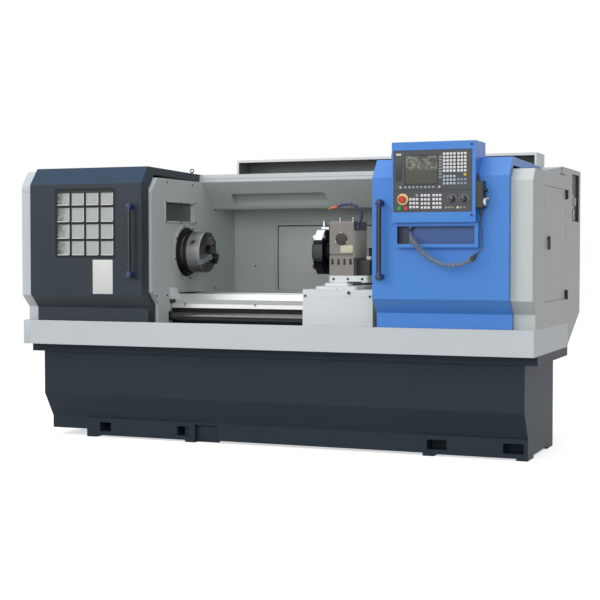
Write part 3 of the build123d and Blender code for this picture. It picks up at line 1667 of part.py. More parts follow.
# Panel plate with a rim behind the box frame and holes for its stems
panel_back_y = box_front_y + box_sheet
with BuildPart() as control_panel:
    with BuildSketch(Plane.XZ.offset(-panel_front_y)):
        with Locations(((panel_left_x + panel_right_x) / 2, (panel_low_z + panel_high_z) / 2)):
            Rectangle(panel_right_x - panel_left_x, panel_high_z - panel_low_z)
    extrude(amount=-panel_thickness)
    block(
        (panel_left_x - panel_rim / 2, panel_right_x + panel_rim),
        (panel_back_y, panel_back_y + panel_rim_thickness),
        (panel_low_z - panel_rim, panel_high_z + panel_rim),
    )
    with BuildSketch(Plane.XZ.offset(-panel_front_y)):
        with Locations(
            (stop_mushroom_x, stop_mushroom_z), (feed_knob_x, knob_z), (spindle_knob_x, knob_z)
        ):
            Circle(button_stem_r + seat_gap)
        with Locations((start_x, push_z), (stop_x, push_z)):
            Rectangle(push_size + 2 * seat_gap, push_size + 2 * seat_gap)
    extrude(amount=-button_stem_depth, mode=Mode.SUBTRACT)
finish(control_panel.part, "control_panel")

# Screen pane on the panel
with BuildPart() as screen:
    block(
        (screen_left_x, screen_left_x + screen_width),
        (panel_front_y - screen_proud, panel_front_y),
        (screen_low_z, screen_high_z),
    )
finish(screen.part, "screen")

# Emergency stop mushroom on its stem
with BuildPart() as e_stop_button:
    with BuildSketch(Plane.XZ.offset(-mushroom_front_y)):
        with Locations((stop_mushroom_x, stop_mushroom_z)):
            Circle(mushroom_r)
    extrude(amount=-mushroom_head)
    chamfer(e_stop_button.edges().sort_by(Axis.Y)[0], length=mushroom_bevel)
    with BuildSketch(Plane.XZ.offset(-panel_front_y - panel_thickness)):
        with Locations((stop_mushroom_x, stop_mushroom_z)):
            Circle(button_stem_r)
    extrude(amount=panel_front_y + panel_thickness - mushroom_front_y - mushroom_head)
finish(e_stop_button.part, "e_stop_button")


def push_button(center_x):
    """A square push button that stands a little proud of the panel."""
    with BuildPart() as button:
        with BuildSketch(Plane.XZ.offset(-panel_front_y - panel_thickness)):
            with Locations((center_x, push_z)):
                RectangleRounded(push_size, push_size, push_round)
        extrude(amount=panel_thickness + push_proud)
    return button.part


finish(push_button(start_x), "start_button")
finish(push_button(stop_x), "stop_button")


def override_knob(center_x):
    """A tapered round knob on a stem through the panel."""
    with BuildPart() as knob:
        with Locations(Plane(origin=(center_x, panel_front_y - seat_gap, knob_z), z_dir=(0, -1, 0))):
            Cone(knob_r, knob_r - knob_taper, knob_height, align=(Align.CENTER, Align.CENTER, Align.MIN))
        with BuildSketch(Plane.XZ.offset(seat_gap - panel_front_y)):
            with Locations((center_x, knob_z)):
                Circle(button_stem_r)
        extrude(amount=-panel_thickness)
    return knob.part


finish(override_knob(feed_knob_x), "feed_knob")
finish(override_knob(spindle_knob_x), "spindle_knob")

# Pendant on the right side of the box, its face turned to the right
pendant_back_y = door_face_y - pendant_back_gap
pendant_y = pendant_back_y - pendant_width / 2
pendant_face_x = box_right_x + pendant_thickness
with BuildPart() as pendant_body:
    block(
        (box_right_x, pendant_face_x),
        (pendant_back_y - pendant_width, pendant_back_y),
        (pendant_low_z + relief_length, pendant_high_z),
    )
    fillet(pendant_body.edges().filter_by(Axis.X), radius=pendant_round)
    block(
        (box_right_x, box_right_x + pendant_hook_thickness),
        (pendant_y - pendant_hook_width / 2, pendant_y + pendant_hook_width / 2),
        (pendant_high_z - pendant_round, pendant_high_z + pendant_hook_height),
    )
    with Locations(((box_right_x + pendant_face_x) / 2, pendant_y, pendant_low_z)):
        Cylinder(relief_r, relief_length + overrun, align=(Align.CENTER, Align.CENTER, Align.MIN))
    with BuildSketch(Plane.YZ.offset(pendant_face_x)):
        with Locations((pendant_y, selector_z)):
            with GridLocations(selector_spacing, overrun, 2, 1):
                Circle(selector_r)
    extrude(amount=selector_height)
finish(pendant_body.part, "pendant_body")

with BuildPart() as pendant_dial:
    with BuildSketch(Plane.YZ.offset(pendant_face_x + seat_gap)):
        with Locations((pendant_y, dial_z)):
            Circle(dial_r)
    extrude(amount=dial_thickness)
    with BuildSketch(Plane.YZ.offset(pendant_face_x + seat_gap + dial_thickness)):
        with Locations((pendant_y, dial_z + dial_r - 2 * dial_grip_r)):
            Circle(dial_grip_r)
    extrude(amount=dial_grip_length)
finish(pendant_dial.part, "pendant_dial")

# Curly cord from the pocket's gland, then the straight lead up to the pendant
lead_x = (box_right_x + pendant_face_x) / 2
gland_z = pocket_open_high_z - gland_length
gland_drop_z = gland_z - gland_drop
cord_route = [(gland_x, gland_y, gland_z), (gland_x, gland_y, gland_drop_z)] + cord_bends
cord_tip = Vector(*cord_bends[-1])
lead_first = cord_tip + (cord_tip - Vector(*cord_bends[-2])) * lead_first_share
lead_route = [
    cord_bends[-1],
    (lead_first.X, lead_first.Y, lead_first.Z),
    *lead_bends,
    (lead_x, pendant_y, pendant_low_z - lead_drop),
    (lead_x, pendant_y, pendant_low_z),
]


def cord_radii(route):
    """The largest arc that fits each corner of a cord's route."""
    radii = []
    for a, b, c in zip(route, route[1:], route[2:]):
        run_in = Vector(*b) - Vector(*a)
        run_out = Vector(*c) - Vector(*b)
        slant = Vector(1, 0).rotate(Axis.Z, run_in.get_angle(run_out) / 2)
        radii.append(fillet_share * min(run_in.length, run_out.length) * slant.X / slant.Y)
    return radii


for name, route, tube_r in (("pendant_cord", cord_route, cord_r), ("pendant_lead", lead_route, lead_r)):
    radii = cord_radii(route)
    print(name, "radii", [round(radius) for radius in radii])
    with BuildLine() as tube_path:
        FilletPolyline(*route, radius=radii)
    tube_wire = tube_path.wire()
    with BuildPart() as tube:
        with BuildSketch(Plane(origin=tube_wire @ 0, z_dir=tube_wire % 0)) as ring:
            Circle(tube_r)
        sweep(path=tube_wire)
    print(name, "volume", round(tube.part.volume), round(ring.sketch.area * tube_wire.length))
    finish(tube.part, name)
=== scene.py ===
"""Finish, small fittings, pendant cable, light and camera for a flat-bed turning lathe."""
import math

import bpy
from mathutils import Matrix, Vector


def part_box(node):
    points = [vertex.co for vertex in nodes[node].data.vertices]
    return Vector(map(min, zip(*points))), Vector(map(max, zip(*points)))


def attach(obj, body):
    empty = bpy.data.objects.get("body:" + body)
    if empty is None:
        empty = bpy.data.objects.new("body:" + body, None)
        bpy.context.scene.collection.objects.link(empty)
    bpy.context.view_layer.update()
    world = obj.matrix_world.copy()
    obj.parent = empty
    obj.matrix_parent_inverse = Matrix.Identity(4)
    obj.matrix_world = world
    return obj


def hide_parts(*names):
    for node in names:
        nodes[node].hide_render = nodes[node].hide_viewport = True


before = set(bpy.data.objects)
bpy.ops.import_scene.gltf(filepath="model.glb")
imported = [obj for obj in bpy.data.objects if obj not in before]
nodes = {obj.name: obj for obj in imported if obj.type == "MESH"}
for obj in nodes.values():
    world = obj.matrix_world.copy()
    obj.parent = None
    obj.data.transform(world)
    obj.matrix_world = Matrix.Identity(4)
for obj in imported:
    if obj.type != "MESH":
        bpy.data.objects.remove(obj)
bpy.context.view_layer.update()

MM = 0.001
IMAGE_SIZE = 600
SENSOR = 36.0
FRONT, BACK, LEFT, RIGHT, UP, DOWN = (0, -1, 0), (0, 1, 0), (-1, 0, 0), (1, 0, 0), (0, 0, 1), (0, 0, -1)
SAME_RADIUS = 0.01 * MM
COVER_INSET = 18 * MM
HEAD_SIDES, SOCKET_SIDES, RING_SIDES = 18, 6, 64

# The photograph's camera, found from the machine's own straight edges.
CAMERA_PLACE = (3.061, -7.604, 1.130)
CAMERA_YAW = 21.85
CAMERA_PITCH = 2.02
FOCAL_PIXELS = 1359.0


def linear(code):
    """A linear colour from an sRGB hex value."""
    channels = [int(code[i : i + 2], 16) / 255 for i in (1, 3, 5)]
    curve = [c / 12.92 if c <= 0.04045 else ((c + 0.055) / 1.055) ** 2.4 for c in channels]
    return (*curve, 1.0)


def add_node(tree, kind, links=None, **settings):
    """Adds one shader node, sets its values and joins its inputs to outputs.

    A node can stand for its output, which is the first one that is in use.
    """
    node = tree.nodes.new(f"ShaderNode{kind}")
    for key, value in settings.items():
        if key.startswith("in_"):
            name = key[3:].replace("_", " ")
            node.inputs[int(name) if name.isdigit() else name].default_value = value
        else:
            setattr(node, key, value)
    for name, source in (links or {}).items():
        if isinstance(source, bpy.types.Node):
            source = next(output for output in source.outputs if output.enabled)
        tree.links.new(source, node.inputs[name])
    return node


def new_material(name):
    """An empty node material and its Object coordinates."""
    material = bpy.data.materials.new(name)
    material.use_nodes = True
    tree = material.node_tree
    tree.nodes.clear()
    return material, tree, add_node(tree, "TexCoord").outputs["Object"]


def surface(tree, links, **constants):
    """The surface shader, joined to its sources and to the material's output."""
    shader = add_node(tree, "BsdfPrincipled", links, **constants)
    add_node(tree, "OutputMaterial", {"Surface": shader})


def within(tree, place, low, high):
    """1 inside the box between two corners, 0 outside it."""
    low, high = Vector(low), Vector(high)
    offset = add_node(tree, "VectorMath", {0: place}, operation="SUBTRACT", in_1=(low + high) / 2)
    folded = add_node(tree, "VectorMath", {0: offset}, operation="ABSOLUTE")
    past = add_node(tree, "VectorMath", {0: folded}, operation="SUBTRACT", in_1=(high - low) / 2)
    parts = add_node(tree, "SeparateXYZ", {"Vector": past})
    wide = add_node(tree, "Math", {0: parts.outputs["X"], 1: parts.outputs["Y"]}, operation="MAXIMUM")
    most = add_node(tree, "Math", {0: wide, 1: parts.outputs["Z"]}, operation="MAXIMUM")
    return add_node(tree, "Math", {0: most}, operation="LESS_THAN", in_1=0.0)


def coats(tree, place, colour, lined):
    """A colour with another laid over it inside each lined box, which is two corners and a hex value."""
    for low, high, code in lined:
        inside = within(tree, place, low, high)
        colour = add_node(tree, "Mix", {"Factor": inside, 6: colour}, data_type="RGBA", in_7=linear(code))
    return colour


def round_axis(tree, place, centre):
    """Coordinates whose X axis is a line along X through a centre in Y and Z, as three outputs."""
    shifted = add_node(tree, "Mapping", {"Vector": place}, in_Location=(0, -centre[0], -centre[1]))
    return add_node(tree, "SeparateXYZ", {"Vector": shifted}).outputs


# Materials


def sprayed_enamel(name, colour, worn, roughness=0.42, texture_mm=9.0, texture=0.05, specular=0.5, lined=()):
    """Two-pack enamel sprayed on steel: an even satin film, a slight orange peel, edges rubbed paler.

    The peel is about 2 mm on the machine and is drawn coarser, so that it shows at this distance.
    Each lined box is laid over in another colour: painted shade, such as the inside of a pocket, painted light or
    reflection, or seams and louvres.
    """
    material, tree, place = new_material(name)
    cloud = add_node(tree, "TexNoise", {"Vector": place}, in_Scale=2.4, in_Detail=4.0)
    peel = add_node(tree, "TexNoise", {"Vector": place}, in_Scale=1 / (texture_mm * MM), in_Detail=2.0)
    shade = add_node(
        tree, "MapRange", {"Value": cloud},
        in_From_Min=0.3, in_From_Max=0.7, in_To_Min=0.0, in_To_Max=0.09,
    )
    film = add_node(tree, "Mix", {"Factor": shade}, data_type="RGBA", in_6=linear(colour), in_7=linear(worn))
    rounded = add_node(tree, "Bevel", samples=4, in_Radius=4 * MM)
    true = add_node(tree, "NewGeometry")
    flush = add_node(tree, "VectorMath", {0: rounded, 1: true.outputs["Normal"]}, operation="DOT_PRODUCT")
    edge = add_node(
        tree, "MapRange", {"Value": flush},
        in_From_Min=0.995, in_From_Max=0.80, in_To_Min=0.0, in_To_Max=0.45,
    )
    rubbed = add_node(tree, "Mix", {"Factor": edge, 6: film}, data_type="RGBA", in_7=linear(worn))
    gloss = add_node(tree, "MapRange", {"Value": peel}, in_To_Min=roughness - 0.05, in_To_Max=roughness + 0.07)
    bump = add_node(tree, "Bump", {"Height": peel, "Normal": rounded}, in_Strength=texture, in_Distance=1 * MM)
    surface(
        tree,
        {"Base Color": coats(tree, place, rubbed, lined), "Roughness": gloss, "Normal": bump},
        in_IOR=1.5, in_Specular_IOR_Level=specular,
    )
    return material


def machined_steel(material, tree, place, marks, colour, dark, roughness, spread, relief, lined):
    """Bare steel whose tone, gloss and relief follow the marks that a tool left on it."""
    tone = add_node(tree, "Mix", {"Factor": marks}, data_type="RGBA", in_6=linear(dark), in_7=linear(colour))
    gloss = add_node(
        tree, "MapRange", {"Value": marks}, in_To_Min=roughness - spread[0], in_To_Max=roughness + spread[1]
    )
    bump = add_node(tree, "Bump", {"Height": marks}, in_Strength=relief, in_Distance=0.4 * MM)
    surface(
        tree,
        {"Base Color": coats(tree, place, tone, lined), "Roughness": gloss, "Normal": bump},
        in_Metallic=1.0,
    )
    return material


def ground_steel(name, colour, dark, roughness=0.3, grain=(6, 260, 260), lined=()):
    """Steel ground along X: fine parallel lines that stretch the highlights across them.

    The grinding lines are finer than a pixel and are drawn about 4 mm wide.
    Each lined box is painted near black: painted shade.
    """
    material, tree, place = new_material(name)
    along = add_node(tree, "Mapping", {"Vector": place}, in_Scale=grain)
    lines = add_node(tree, "TexNoise", {"Vector": along}, in_Scale=1.0, in_Detail=3.0)
    return machined_steel(material, tree, place, lines, colour, dark, roughness, (0.08, 0.12), 0.06, lined)


def turned_steel(name, centre, colour, dark, roughness=0.28, lined=()):
    """Steel turned about a line along X: rings on the faces and round the rims, drawn about 3 mm apart.

    Each lined box is painted darker: painted shade.
    """
    material, tree, place = new_material(name)
    parts = round_axis(tree, place, centre)
    flat = add_node(tree, "CombineXYZ", {"Y": parts["Y"], "Z": parts["Z"]})
    radius = add_node(tree, "VectorMath", {0: flat}, operation="LENGTH")
    ring = add_node(tree, "CombineXYZ", {"X": parts["X"], "Y": radius})
    marks = add_node(tree, "TexNoise", {"Vector": ring}, in_Scale=330.0, in_Detail=2.0)
    return machined_steel(material, tree, place, marks, colour, dark, roughness, (0.06, 0.14), 0.08, lined)


def moulded_plastic(name, colour, roughness=0.45, grain_mm=3.0, grain=0.12, lined=()):
    """Injection-moulded ABS: one colour through, a fine spark texture that breaks up the gloss.

    Each lined box is a second moulding in another colour.
    """
    material, tree, place = new_material(name)
    spark = add_node(tree, "TexNoise", {"Vector": place}, in_Scale=1 / (grain_mm * MM), in_Detail=3.0)
    level = add_node(tree, "MapRange", {"Value": spark}, in_To_Min=0.88, in_To_Max=1.12)
    tone = add_node(tree, "HueSaturation", {"Value": level}, in_Color=linear(colour))
    gloss = add_node(tree, "MapRange", {"Value": spark}, in_To_Min=roughness - 0.06, in_To_Max=roughness + 0.06)
    bump = add_node(tree, "Bump", {"Height": spark}, in_Strength=grain, in_Distance=0.5 * MM)
    surface(
        tree,
        {"Base Color": coats(tree, place, tone, lined), "Roughness": gloss, "Normal": bump},
        in_IOR=1.52,
    )
    return material


def painted_casting_with_ground_ways(name, paint, steel, ways_low, flange, lined):
    """Grey painted cast iron whose ways and flange edge are ground bright, with grinding lines along X.

    The lined boxes, such as the edge of the front way and the web below it, are dark: painted shade.
    """
    material, tree, place = new_material(name)
    skin = add_node(tree, "TexNoise", {"Vector": place}, in_Scale=90.0, in_Detail=4.0)
    along = add_node(tree, "Mapping", {"Vector": place}, in_Scale=(5, 240, 240))
    lines = add_node(tree, "TexNoise", {"Vector": along}, in_Scale=1.0, in_Detail=3.0)
    parts = add_node(tree, "SeparateXYZ", {"Vector": place})
    way = add_node(tree, "Math", {0: parts.outputs["Z"]}, operation="GREATER_THAN", in_1=ways_low)
    bright = add_node(tree, "Math", {0: way, 1: within(tree, place, *flange)}, operation="MAXIMUM")
    level = add_node(tree, "MapRange", {"Value": skin}, in_To_Min=0.85, in_To_Max=1.12)
    cast = add_node(tree, "HueSaturation", {"Value": level}, in_Color=linear(paint))
    tone = add_node(tree, "Mix", {"Factor": bright, 6: cast}, data_type="RGBA", in_7=linear(steel))
    height = add_node(tree, "Mix", {"Factor": bright, "A": skin, "B": lines})
    gloss = add_node(tree, "MapRange", {"Value": bright}, in_To_Min=0.55, in_To_Max=0.34)
    bump = add_node(tree, "Bump", {"Height": height}, in_Strength=0.15, in_Distance=0.8 * MM)
    surface(
        tree,
        {"Base Color": coats(tree, place, tone, lined), "Metallic": bright, "Roughness": gloss, "Normal": bump},
    )
    return material


def rolled_screw_thread(name, centre, pitch_mm):
    """Phosphated screw steel under an oil film: dark, with crests that wind round the axis and a wet shine."""
    material, tree, place = new_material(name)
    parts = round_axis(tree, place, centre)
    angle = add_node(tree, "Math", {0: parts["Y"], 1: parts["Z"]}, operation="ARCTAN2")
    turns = add_node(tree, "Math", {0: angle}, operation="MULTIPLY", in_1=1 / math.tau)
    along = add_node(
        tree, "Math", {0: parts["X"], 2: turns}, operation="MULTIPLY_ADD",
        in_1=1 / (pitch_mm * MM),
    )
    phase = add_node(tree, "Math", {0: along}, operation="PINGPONG", in_1=0.5)
    crest = add_node(tree, "MapRange", {"Value": phase}, in_From_Min=0.12, in_From_Max=0.36)
    tone = add_node(
        tree, "Mix", {"Factor": crest}, data_type="RGBA",
        in_6=linear("#17191a"), in_7=linear("#34373a"),
    )
    bump = add_node(tree, "Bump", {"Height": crest}, in_Strength=0.06, in_Distance=1 * MM)
    surface(
        tree, {"Base Color": tone, "Normal": bump},
        in_Roughness=0.3, in_Coat_Weight=1.0, in_Coat_Roughness=0.12,
    )
    return material


def laminated_pane(name, colour, alpha, roughness, shaded=None, shade_from=0.0, shade_to=1.0):
    """Laminated safety glass: clear and glossy, a faint haze of fine scratches.

    Where it is shaded, painted shade: its tint goes from that colour to the other one along X, with a few dark
    streaks of painted reflection.
    """
    material, tree, place = new_material(name)
    haze = add_node(tree, "TexNoise", {"Vector": place}, in_Scale=14.0, in_Detail=5.0)
    gloss = add_node(tree, "MapRange", {"Value": haze}, in_To_Min=roughness, in_To_Max=roughness + 0.12)
    veil = add_node(tree, "MapRange", {"Value": haze}, in_To_Min=alpha - 0.06, in_To_Max=alpha + 0.06)
    parts = add_node(tree, "SeparateXYZ", {"Vector": place})
    streak = add_node(tree, "TexNoise", {"Vector": place}, in_Scale=24.0, in_Detail=3.0, in_Distortion=1.2)
    ragged = add_node(tree, "Math", {0: streak, 2: parts.outputs["X"]}, operation="MULTIPLY_ADD", in_1=0.09)
    lit = add_node(tree, "MapRange", {"Value": ragged}, in_From_Min=shade_from, in_From_Max=shade_to)
    tint = add_node(
        tree, "Mix", {"Factor": lit}, data_type="RGBA",
        in_6=linear(shaded or colour), in_7=linear(colour),
    )
    surface(tree, {"Base Color": tint, "Roughness": gloss, "Alpha": veil}, in_IOR=1.5)
    return material


def display_glass(name, low, high):
    """A switched-off display behind coated glass: flat olive grey below, cloudy workshop reflections above."""
    material, tree, place = new_material(name)
    cloud = add_node(tree, "TexNoise", {"Vector": place}, in_Scale=34.0, in_Detail=5.0, in_Distortion=0.9)
    parts = add_node(tree, "SeparateXYZ", {"Vector": place})
    middle = (low.z + high.z) / 2
    upper = add_node(
        tree, "MapRange", {"Value": parts.outputs["Z"]}, interpolation_type="SMOOTHSTEP",
        in_From_Min=middle - 12 * MM, in_From_Max=middle + 14 * MM,
    )
    blotch = add_node(tree, "MapRange", {"Value": cloud}, in_From_Min=0.40, in_From_Max=0.66)
    shine = add_node(tree, "Math", {0: blotch, 1: upper}, operation="MULTIPLY")
    tone = add_node(
        tree, "Mix", {"Factor": shine}, data_type="RGBA",
        in_6=linear("#4b4d43"), in_7=linear("#8f908a"),
    )
    gloss = add_node(tree, "MapRange", {"Value": cloud}, in_To_Min=0.12, in_To_Max=0.24)
    surface(tree, {"Base Color": tone, "Roughness": gloss}, in_IOR=1.5)
    return material


def knob_dial(name, centre, ticks):
    """Printed polyester film round a knob: dark, with pale scale ticks that fan out from its centre."""
    material, tree, place = new_material(name)
    framed = add_node(tree, "Mapping", {"Vector": place}, in_Location=(-centre.x, 0, -centre.z))
    parts = add_node(tree, "SeparateXYZ", {"Vector": framed})
    angle = add_node(tree, "Math", {0: parts.outputs["X"], 1: parts.outputs["Z"]}, operation="ARCTAN2")
    turn = add_node(tree, "Math", {0: angle}, operation="MULTIPLY", in_1=ticks / math.tau)
    wave = add_node(tree, "Math", {0: turn}, operation="PINGPONG", in_1=0.5)
    tick = add_node(tree, "Math", {0: wave}, operation="LESS_THAN", in_1=0.14)
    upper = add_node(tree, "Math", {0: parts.outputs["Z"]}, operation="GREATER_THAN", in_1=-0.014)
    shown = add_node(tree, "Math", {0: tick, 1: upper}, operation="MULTIPLY")
    tone = add_node(
        tree, "Mix", {"Factor": shown}, data_type="RGBA",
        in_6=linear("#33383d"), in_7=linear("#8b9091"),
    )
    surface(tree, {"Base Color": tone}, in_Roughness=0.5)
    return material


spindle_low, spindle_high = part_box("spindle_collar")
spindle_centre = ((spindle_low.y + spindle_high.y) / 2, (spindle_low.z + spindle_high.z) / 2)
screw_low, screw_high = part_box("z_screw")
screw_centre = ((screw_low.y + screw_high.y) / 2, (screw_low.z + screw_high.z) / 2)
screen_low, screen_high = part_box("screen")
duct_low, duct_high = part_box("cable_duct")
box_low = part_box("control_box")[0]
cabinet_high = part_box("electrical_cabinet")[1]
side_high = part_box("side_door")[1]
chuck_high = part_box("chuck_body")[1]
disc_low, disc_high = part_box("turret_disc")
grip_low, grip_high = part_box("left_door_handle")
bed_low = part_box("bed")[0]
SHEET = 1 * MM
HANDLE_END = 46 * MM
FAR = 5.0
# Painted shade: the control box's pocket is darker blue inside, and darker still at its left end.
pocket_painted_shade = ((0.842, box_low.y + 28 * MM, 1.172), (1.266, 0, 1.268), "#33568f")
pocket_end_painted_shade = (pocket_painted_shade[0], (0.900, 0, 1.268), "#14223f")
# Painted shade: the inside of the recess in the cabinet's end is near black.
recess_painted_shade = ((cabinet_high.x - 15 * MM, 0.473, 1.311), (cabinet_high.x - 1 * MM, 0.698, 1.592), "#1f2322")
# Painted light: the front of the right cover is a paler grey than its end panels.
cover_front_painted_light = ((0.70, -0.61, 0.58), (cabinet_high.x - 3 * MM, -0.50, 1.65), "#c8cfcd")
duct_skin = Vector((SHEET, SHEET, SHEET))
# Painted shade: the inside of the cable duct is darker grey.
duct_painted_shade = (duct_low + duct_skin, duct_high - duct_skin, "#7d8280")
knuckles = ((side_high.x - 15 * MM, -FAR, 0), (FAR, FAR, FAR), "#1e2022")
# Painted shade: the chuck's front face is coloured darker, and the groove behind its body darker still.
chuck_face_painted_shade = ((chuck_high.x - 1 * MM, -FAR, 0), (chuck_high.x + 1 * MM, FAR, FAR), "#54585a")
chuck_groove_painted_shade = ((-0.668, -FAR, 0), (-0.642, FAR, FAR), "#3b3a39")
# Painted shade: the lower, front part of the tool blocks is near black.
lower_tool_painted_shade = ((0, -FAR, 0), (disc_high.x, 0.03, 1.09), "#232528")
pane_low, pane_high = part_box("left_door_window")
BAR_EDGE = 6 * MM
bar_margin = Vector((BAR_EDGE, 20 * MM, BAR_EDGE))
window_bars = (pane_low - bar_margin, pane_high + bar_margin, "#1b2126")
# Painted reflection: the left door's upper chamfer is tinted blue.
door_chamfer_painted_reflection = ((-FAR, -0.644, 1.5305), (FAR, -0.5655, 1.6295), "#31445a")
grip_tube = ((-FAR, -FAR, grip_low.z + HANDLE_END), (FAR, FAR, grip_high.z - HANDLE_END), "#0c0d10")
flange_edge = ((-FAR, bed_low.y - 1 * MM, 0.797), (FAR, bed_low.y + 8 * MM, 0.820))
# Painted shade: the bed's web below the flange and the edge of the front way are near black.
bed_web_painted_shade = ((-FAR, -FAR, 0), (FAR, FAR, 0.795), "#17191a")
way_shadow = ((-FAR, -0.291, 0.870), (FAR, -0.280, 0.882), "#17191a")

base_enamel = sprayed_enamel("textured slate enamel", "#27313b", "#454f59", 0.5, 7.0, 0.10, 0.15)
grey_enamel = sprayed_enamel("light grey enamel", "#c8ced2", "#e3e6e8", 0.40)
inner_enamel = sprayed_enamel("grey enamel inside the work zone", "#b9bfbe", "#cdd2d1", 0.5, 9.0, 0.05, 0.3)
duct_enamel = sprayed_enamel("light grey enamel on the duct", "#d3d7da", "#e8eaeb", 0.40, lined=[duct_painted_shade])
cabinet_back = cabinet_high.y - SHEET
cabinet_seams = [
    ((left, cabinet_back, low), (right, FAR, high), "#3f4343")
    for left, right, low, high in (
        (0.900, 0.903, 0.72, 1.58), (1.515, 1.518, 0.72, 1.58),
        (0.900, 1.518, 0.717, 0.720), (0.900, 1.518, 1.580, 1.583),
    )
]
cabinet_louvres = [
    ((1.06, cabinet_back, z * MM), (1.36, FAR, (z + 8) * MM), "#2d3131")
    for z in range(800, 1024, 28)
]
side_enamel = sprayed_enamel(
    "light grey enamel on the end panels", "#b4b9bb", "#d0d4d5", 0.42, 9.0, 0.05, 0.4,
    [recess_painted_shade, knuckles, cover_front_painted_light, *cabinet_seams, *cabinet_louvres],
)
slate_enamel = sprayed_enamel(
    "dark slate door enamel", "#2f373f", "#566069", 0.38, 9.0, 0.05, 0.2, [window_bars, door_chamfer_painted_reflection]
)
blue_enamel = sprayed_enamel("mid blue enamel", "#3a80d4", "#7fb2ea", 0.38, lined=[pocket_painted_shade, pocket_end_painted_shade])
slide_enamel = sprayed_enamel("pale machine enamel", "#dde2e4", "#eff1f1", 0.42)
turret_enamel = sprayed_enamel("dark grey machine enamel", "#8a8580", "#a8a49f", 0.45, 5.0, 0.2, 0.3)
# Painted light: a pale enamel for the turret's side face, which is in shade.
turret_side_painted_light_enamel = sprayed_enamel("warm grey enamel painted pale for light", "#d6d3ce", "#e6e4e0", 0.45, 5.0, 0.1, 0.4)
speckled_enamel = sprayed_enamel("speckled dark casting enamel", "#3d3a37", "#7d7a75", 0.5, 4.0, 0.3, 0.3)
way_casting = painted_casting_with_ground_ways(
    "painted casting with ground ways", "#b3b8b6", "#d4d5d3", 0.846, flange_edge, [way_shadow, bed_web_painted_shade]
)
plain_casting = sprayed_enamel("painted casting", "#9da3a5", "#bcc1c2", 0.5, 12.0, 0.16)
bright_steel = ground_steel("ground steel", "#c3c4c2", "#8f9190")
tool_steel = ground_steel("ground tool holder steel", "#d8dadb", "#a5a8aa", 0.36, (60, 60, 60), [lower_tool_painted_shade])
black_steel = ground_steel("black oxide steel", "#3a3c3e", "#1f2022", 0.42)
disc_steel = ground_steel("blackened turret disc steel", "#2c2e30", "#17181a", 0.5, (120, 120, 120))
chuck_steel = turned_steel(
    "turned chuck steel", spindle_centre, "#b6b8b7", "#74777a", 0.30, [chuck_face_painted_shade, chuck_groove_painted_shade]
)
# Painted light and shade: one jaw is bright for its highlight, the other two are dark for shade.
highlighted_jaw_finish = ground_steel("hardened jaw steel painted with a highlight", "#d6d8d9", "#8b8e90", 0.24)
shaded_jaw_finish = ground_steel("jaw steel painted darker for shade", "#6a6663", "#2f2d2c", 0.38)
collar_steel = turned_steel("blackened collar steel", spindle_centre, "#3b3d3f", "#26282a", 0.4)
thread_steel = rolled_screw_thread("rolled screw thread", screw_centre, 12.0)
black_abs = moulded_plastic("black moulded ABS", "#131416", 0.48)
navy_abs = moulded_plastic("navy glass-filled nylon", "#1f2a5c", 0.26, 3.0, 0.05, [grip_tube])
panel_film = moulded_plastic("dark grey panel film", "#33383e", 0.5, 4.0, 0.05)
key_white = moulded_plastic("white key caps", "#e2e4e2", 0.4)
key_grey = moulded_plastic("grey key caps", "#8d9499", 0.42)
key_pale_blue = moulded_plastic("pale blue-grey key caps", "#b3bfca", 0.42)
key_yellow = moulded_plastic("yellow key cap", "#e3b52d", 0.4)
key_olive = moulded_plastic("olive key caps", "#9aa36a", 0.42)
key_rose = moulded_plastic("rose key caps", "#b58076", 0.42)
signal_red = moulded_plastic("signal red ABS", "#c23b2a", 0.28)
signal_green = moulded_plastic("signal green ABS", "#2f9b4a", 0.3)
stop_yellow = moulded_plastic("pale yellow stop ring ABS", "#e3c987", 0.35)
isolator_grey = moulded_plastic("light grey switch ABS", "#b9bcba", 0.4)
hose_blue = moulded_plastic("blue acetal hose segments", "#1b2560", 0.35)
nozzle_orange = moulded_plastic("orange acetal nozzle", "#d9694a", 0.35)
cable_lead = ((1.286, -FAR, 1.11), (FAR, FAR, FAR), "#1b1f26")
# Painted sheen: the black cable is coloured silver grey and coarsely mottled; its lead stays dark.
cable_sheath_painted_sheen = moulded_plastic("black PVC cable sheath painted silver grey for sheen", "#84898e", 0.14, 16.0, 0.55, [cable_lead])
black_oxide = moulded_plastic("black oxide screw heads", "#0e0f10", 0.5, 2.0, 0.08)
belt_rubber = moulded_plastic("ribbed belt rubber", "#1a1a1a", 0.7)
wiper_rubber = moulded_plastic("nitrile wiper rubber", "#1a1c1d", 0.65)
opal_lens = moulded_plastic("opal lamp lens", "#a9b0ae", 0.35)
plate_white = moulded_plastic("blank white plate", "#d8dad7", 0.45)
plate_beige = moulded_plastic("blank beige plate", "#cfc7ab", 0.5)
zinc_steel = ground_steel("zinc-plated screws", "#c9cccc", "#85898b", 0.32, (120, 120, 120))
# Painted shade: the door pane is darker towards its left column, with dark streaks of painted reflection.
clear_pane = laminated_pane("laminated door pane", "#cfd5d1", 0.6, 0.05, "#5c6462", -1.245, -1.175)
dark_pane = laminated_pane("smoked bulkhead pane", "#5c6463", 0.75, 0.12)
display = display_glass("display glass", screen_low, screen_high)

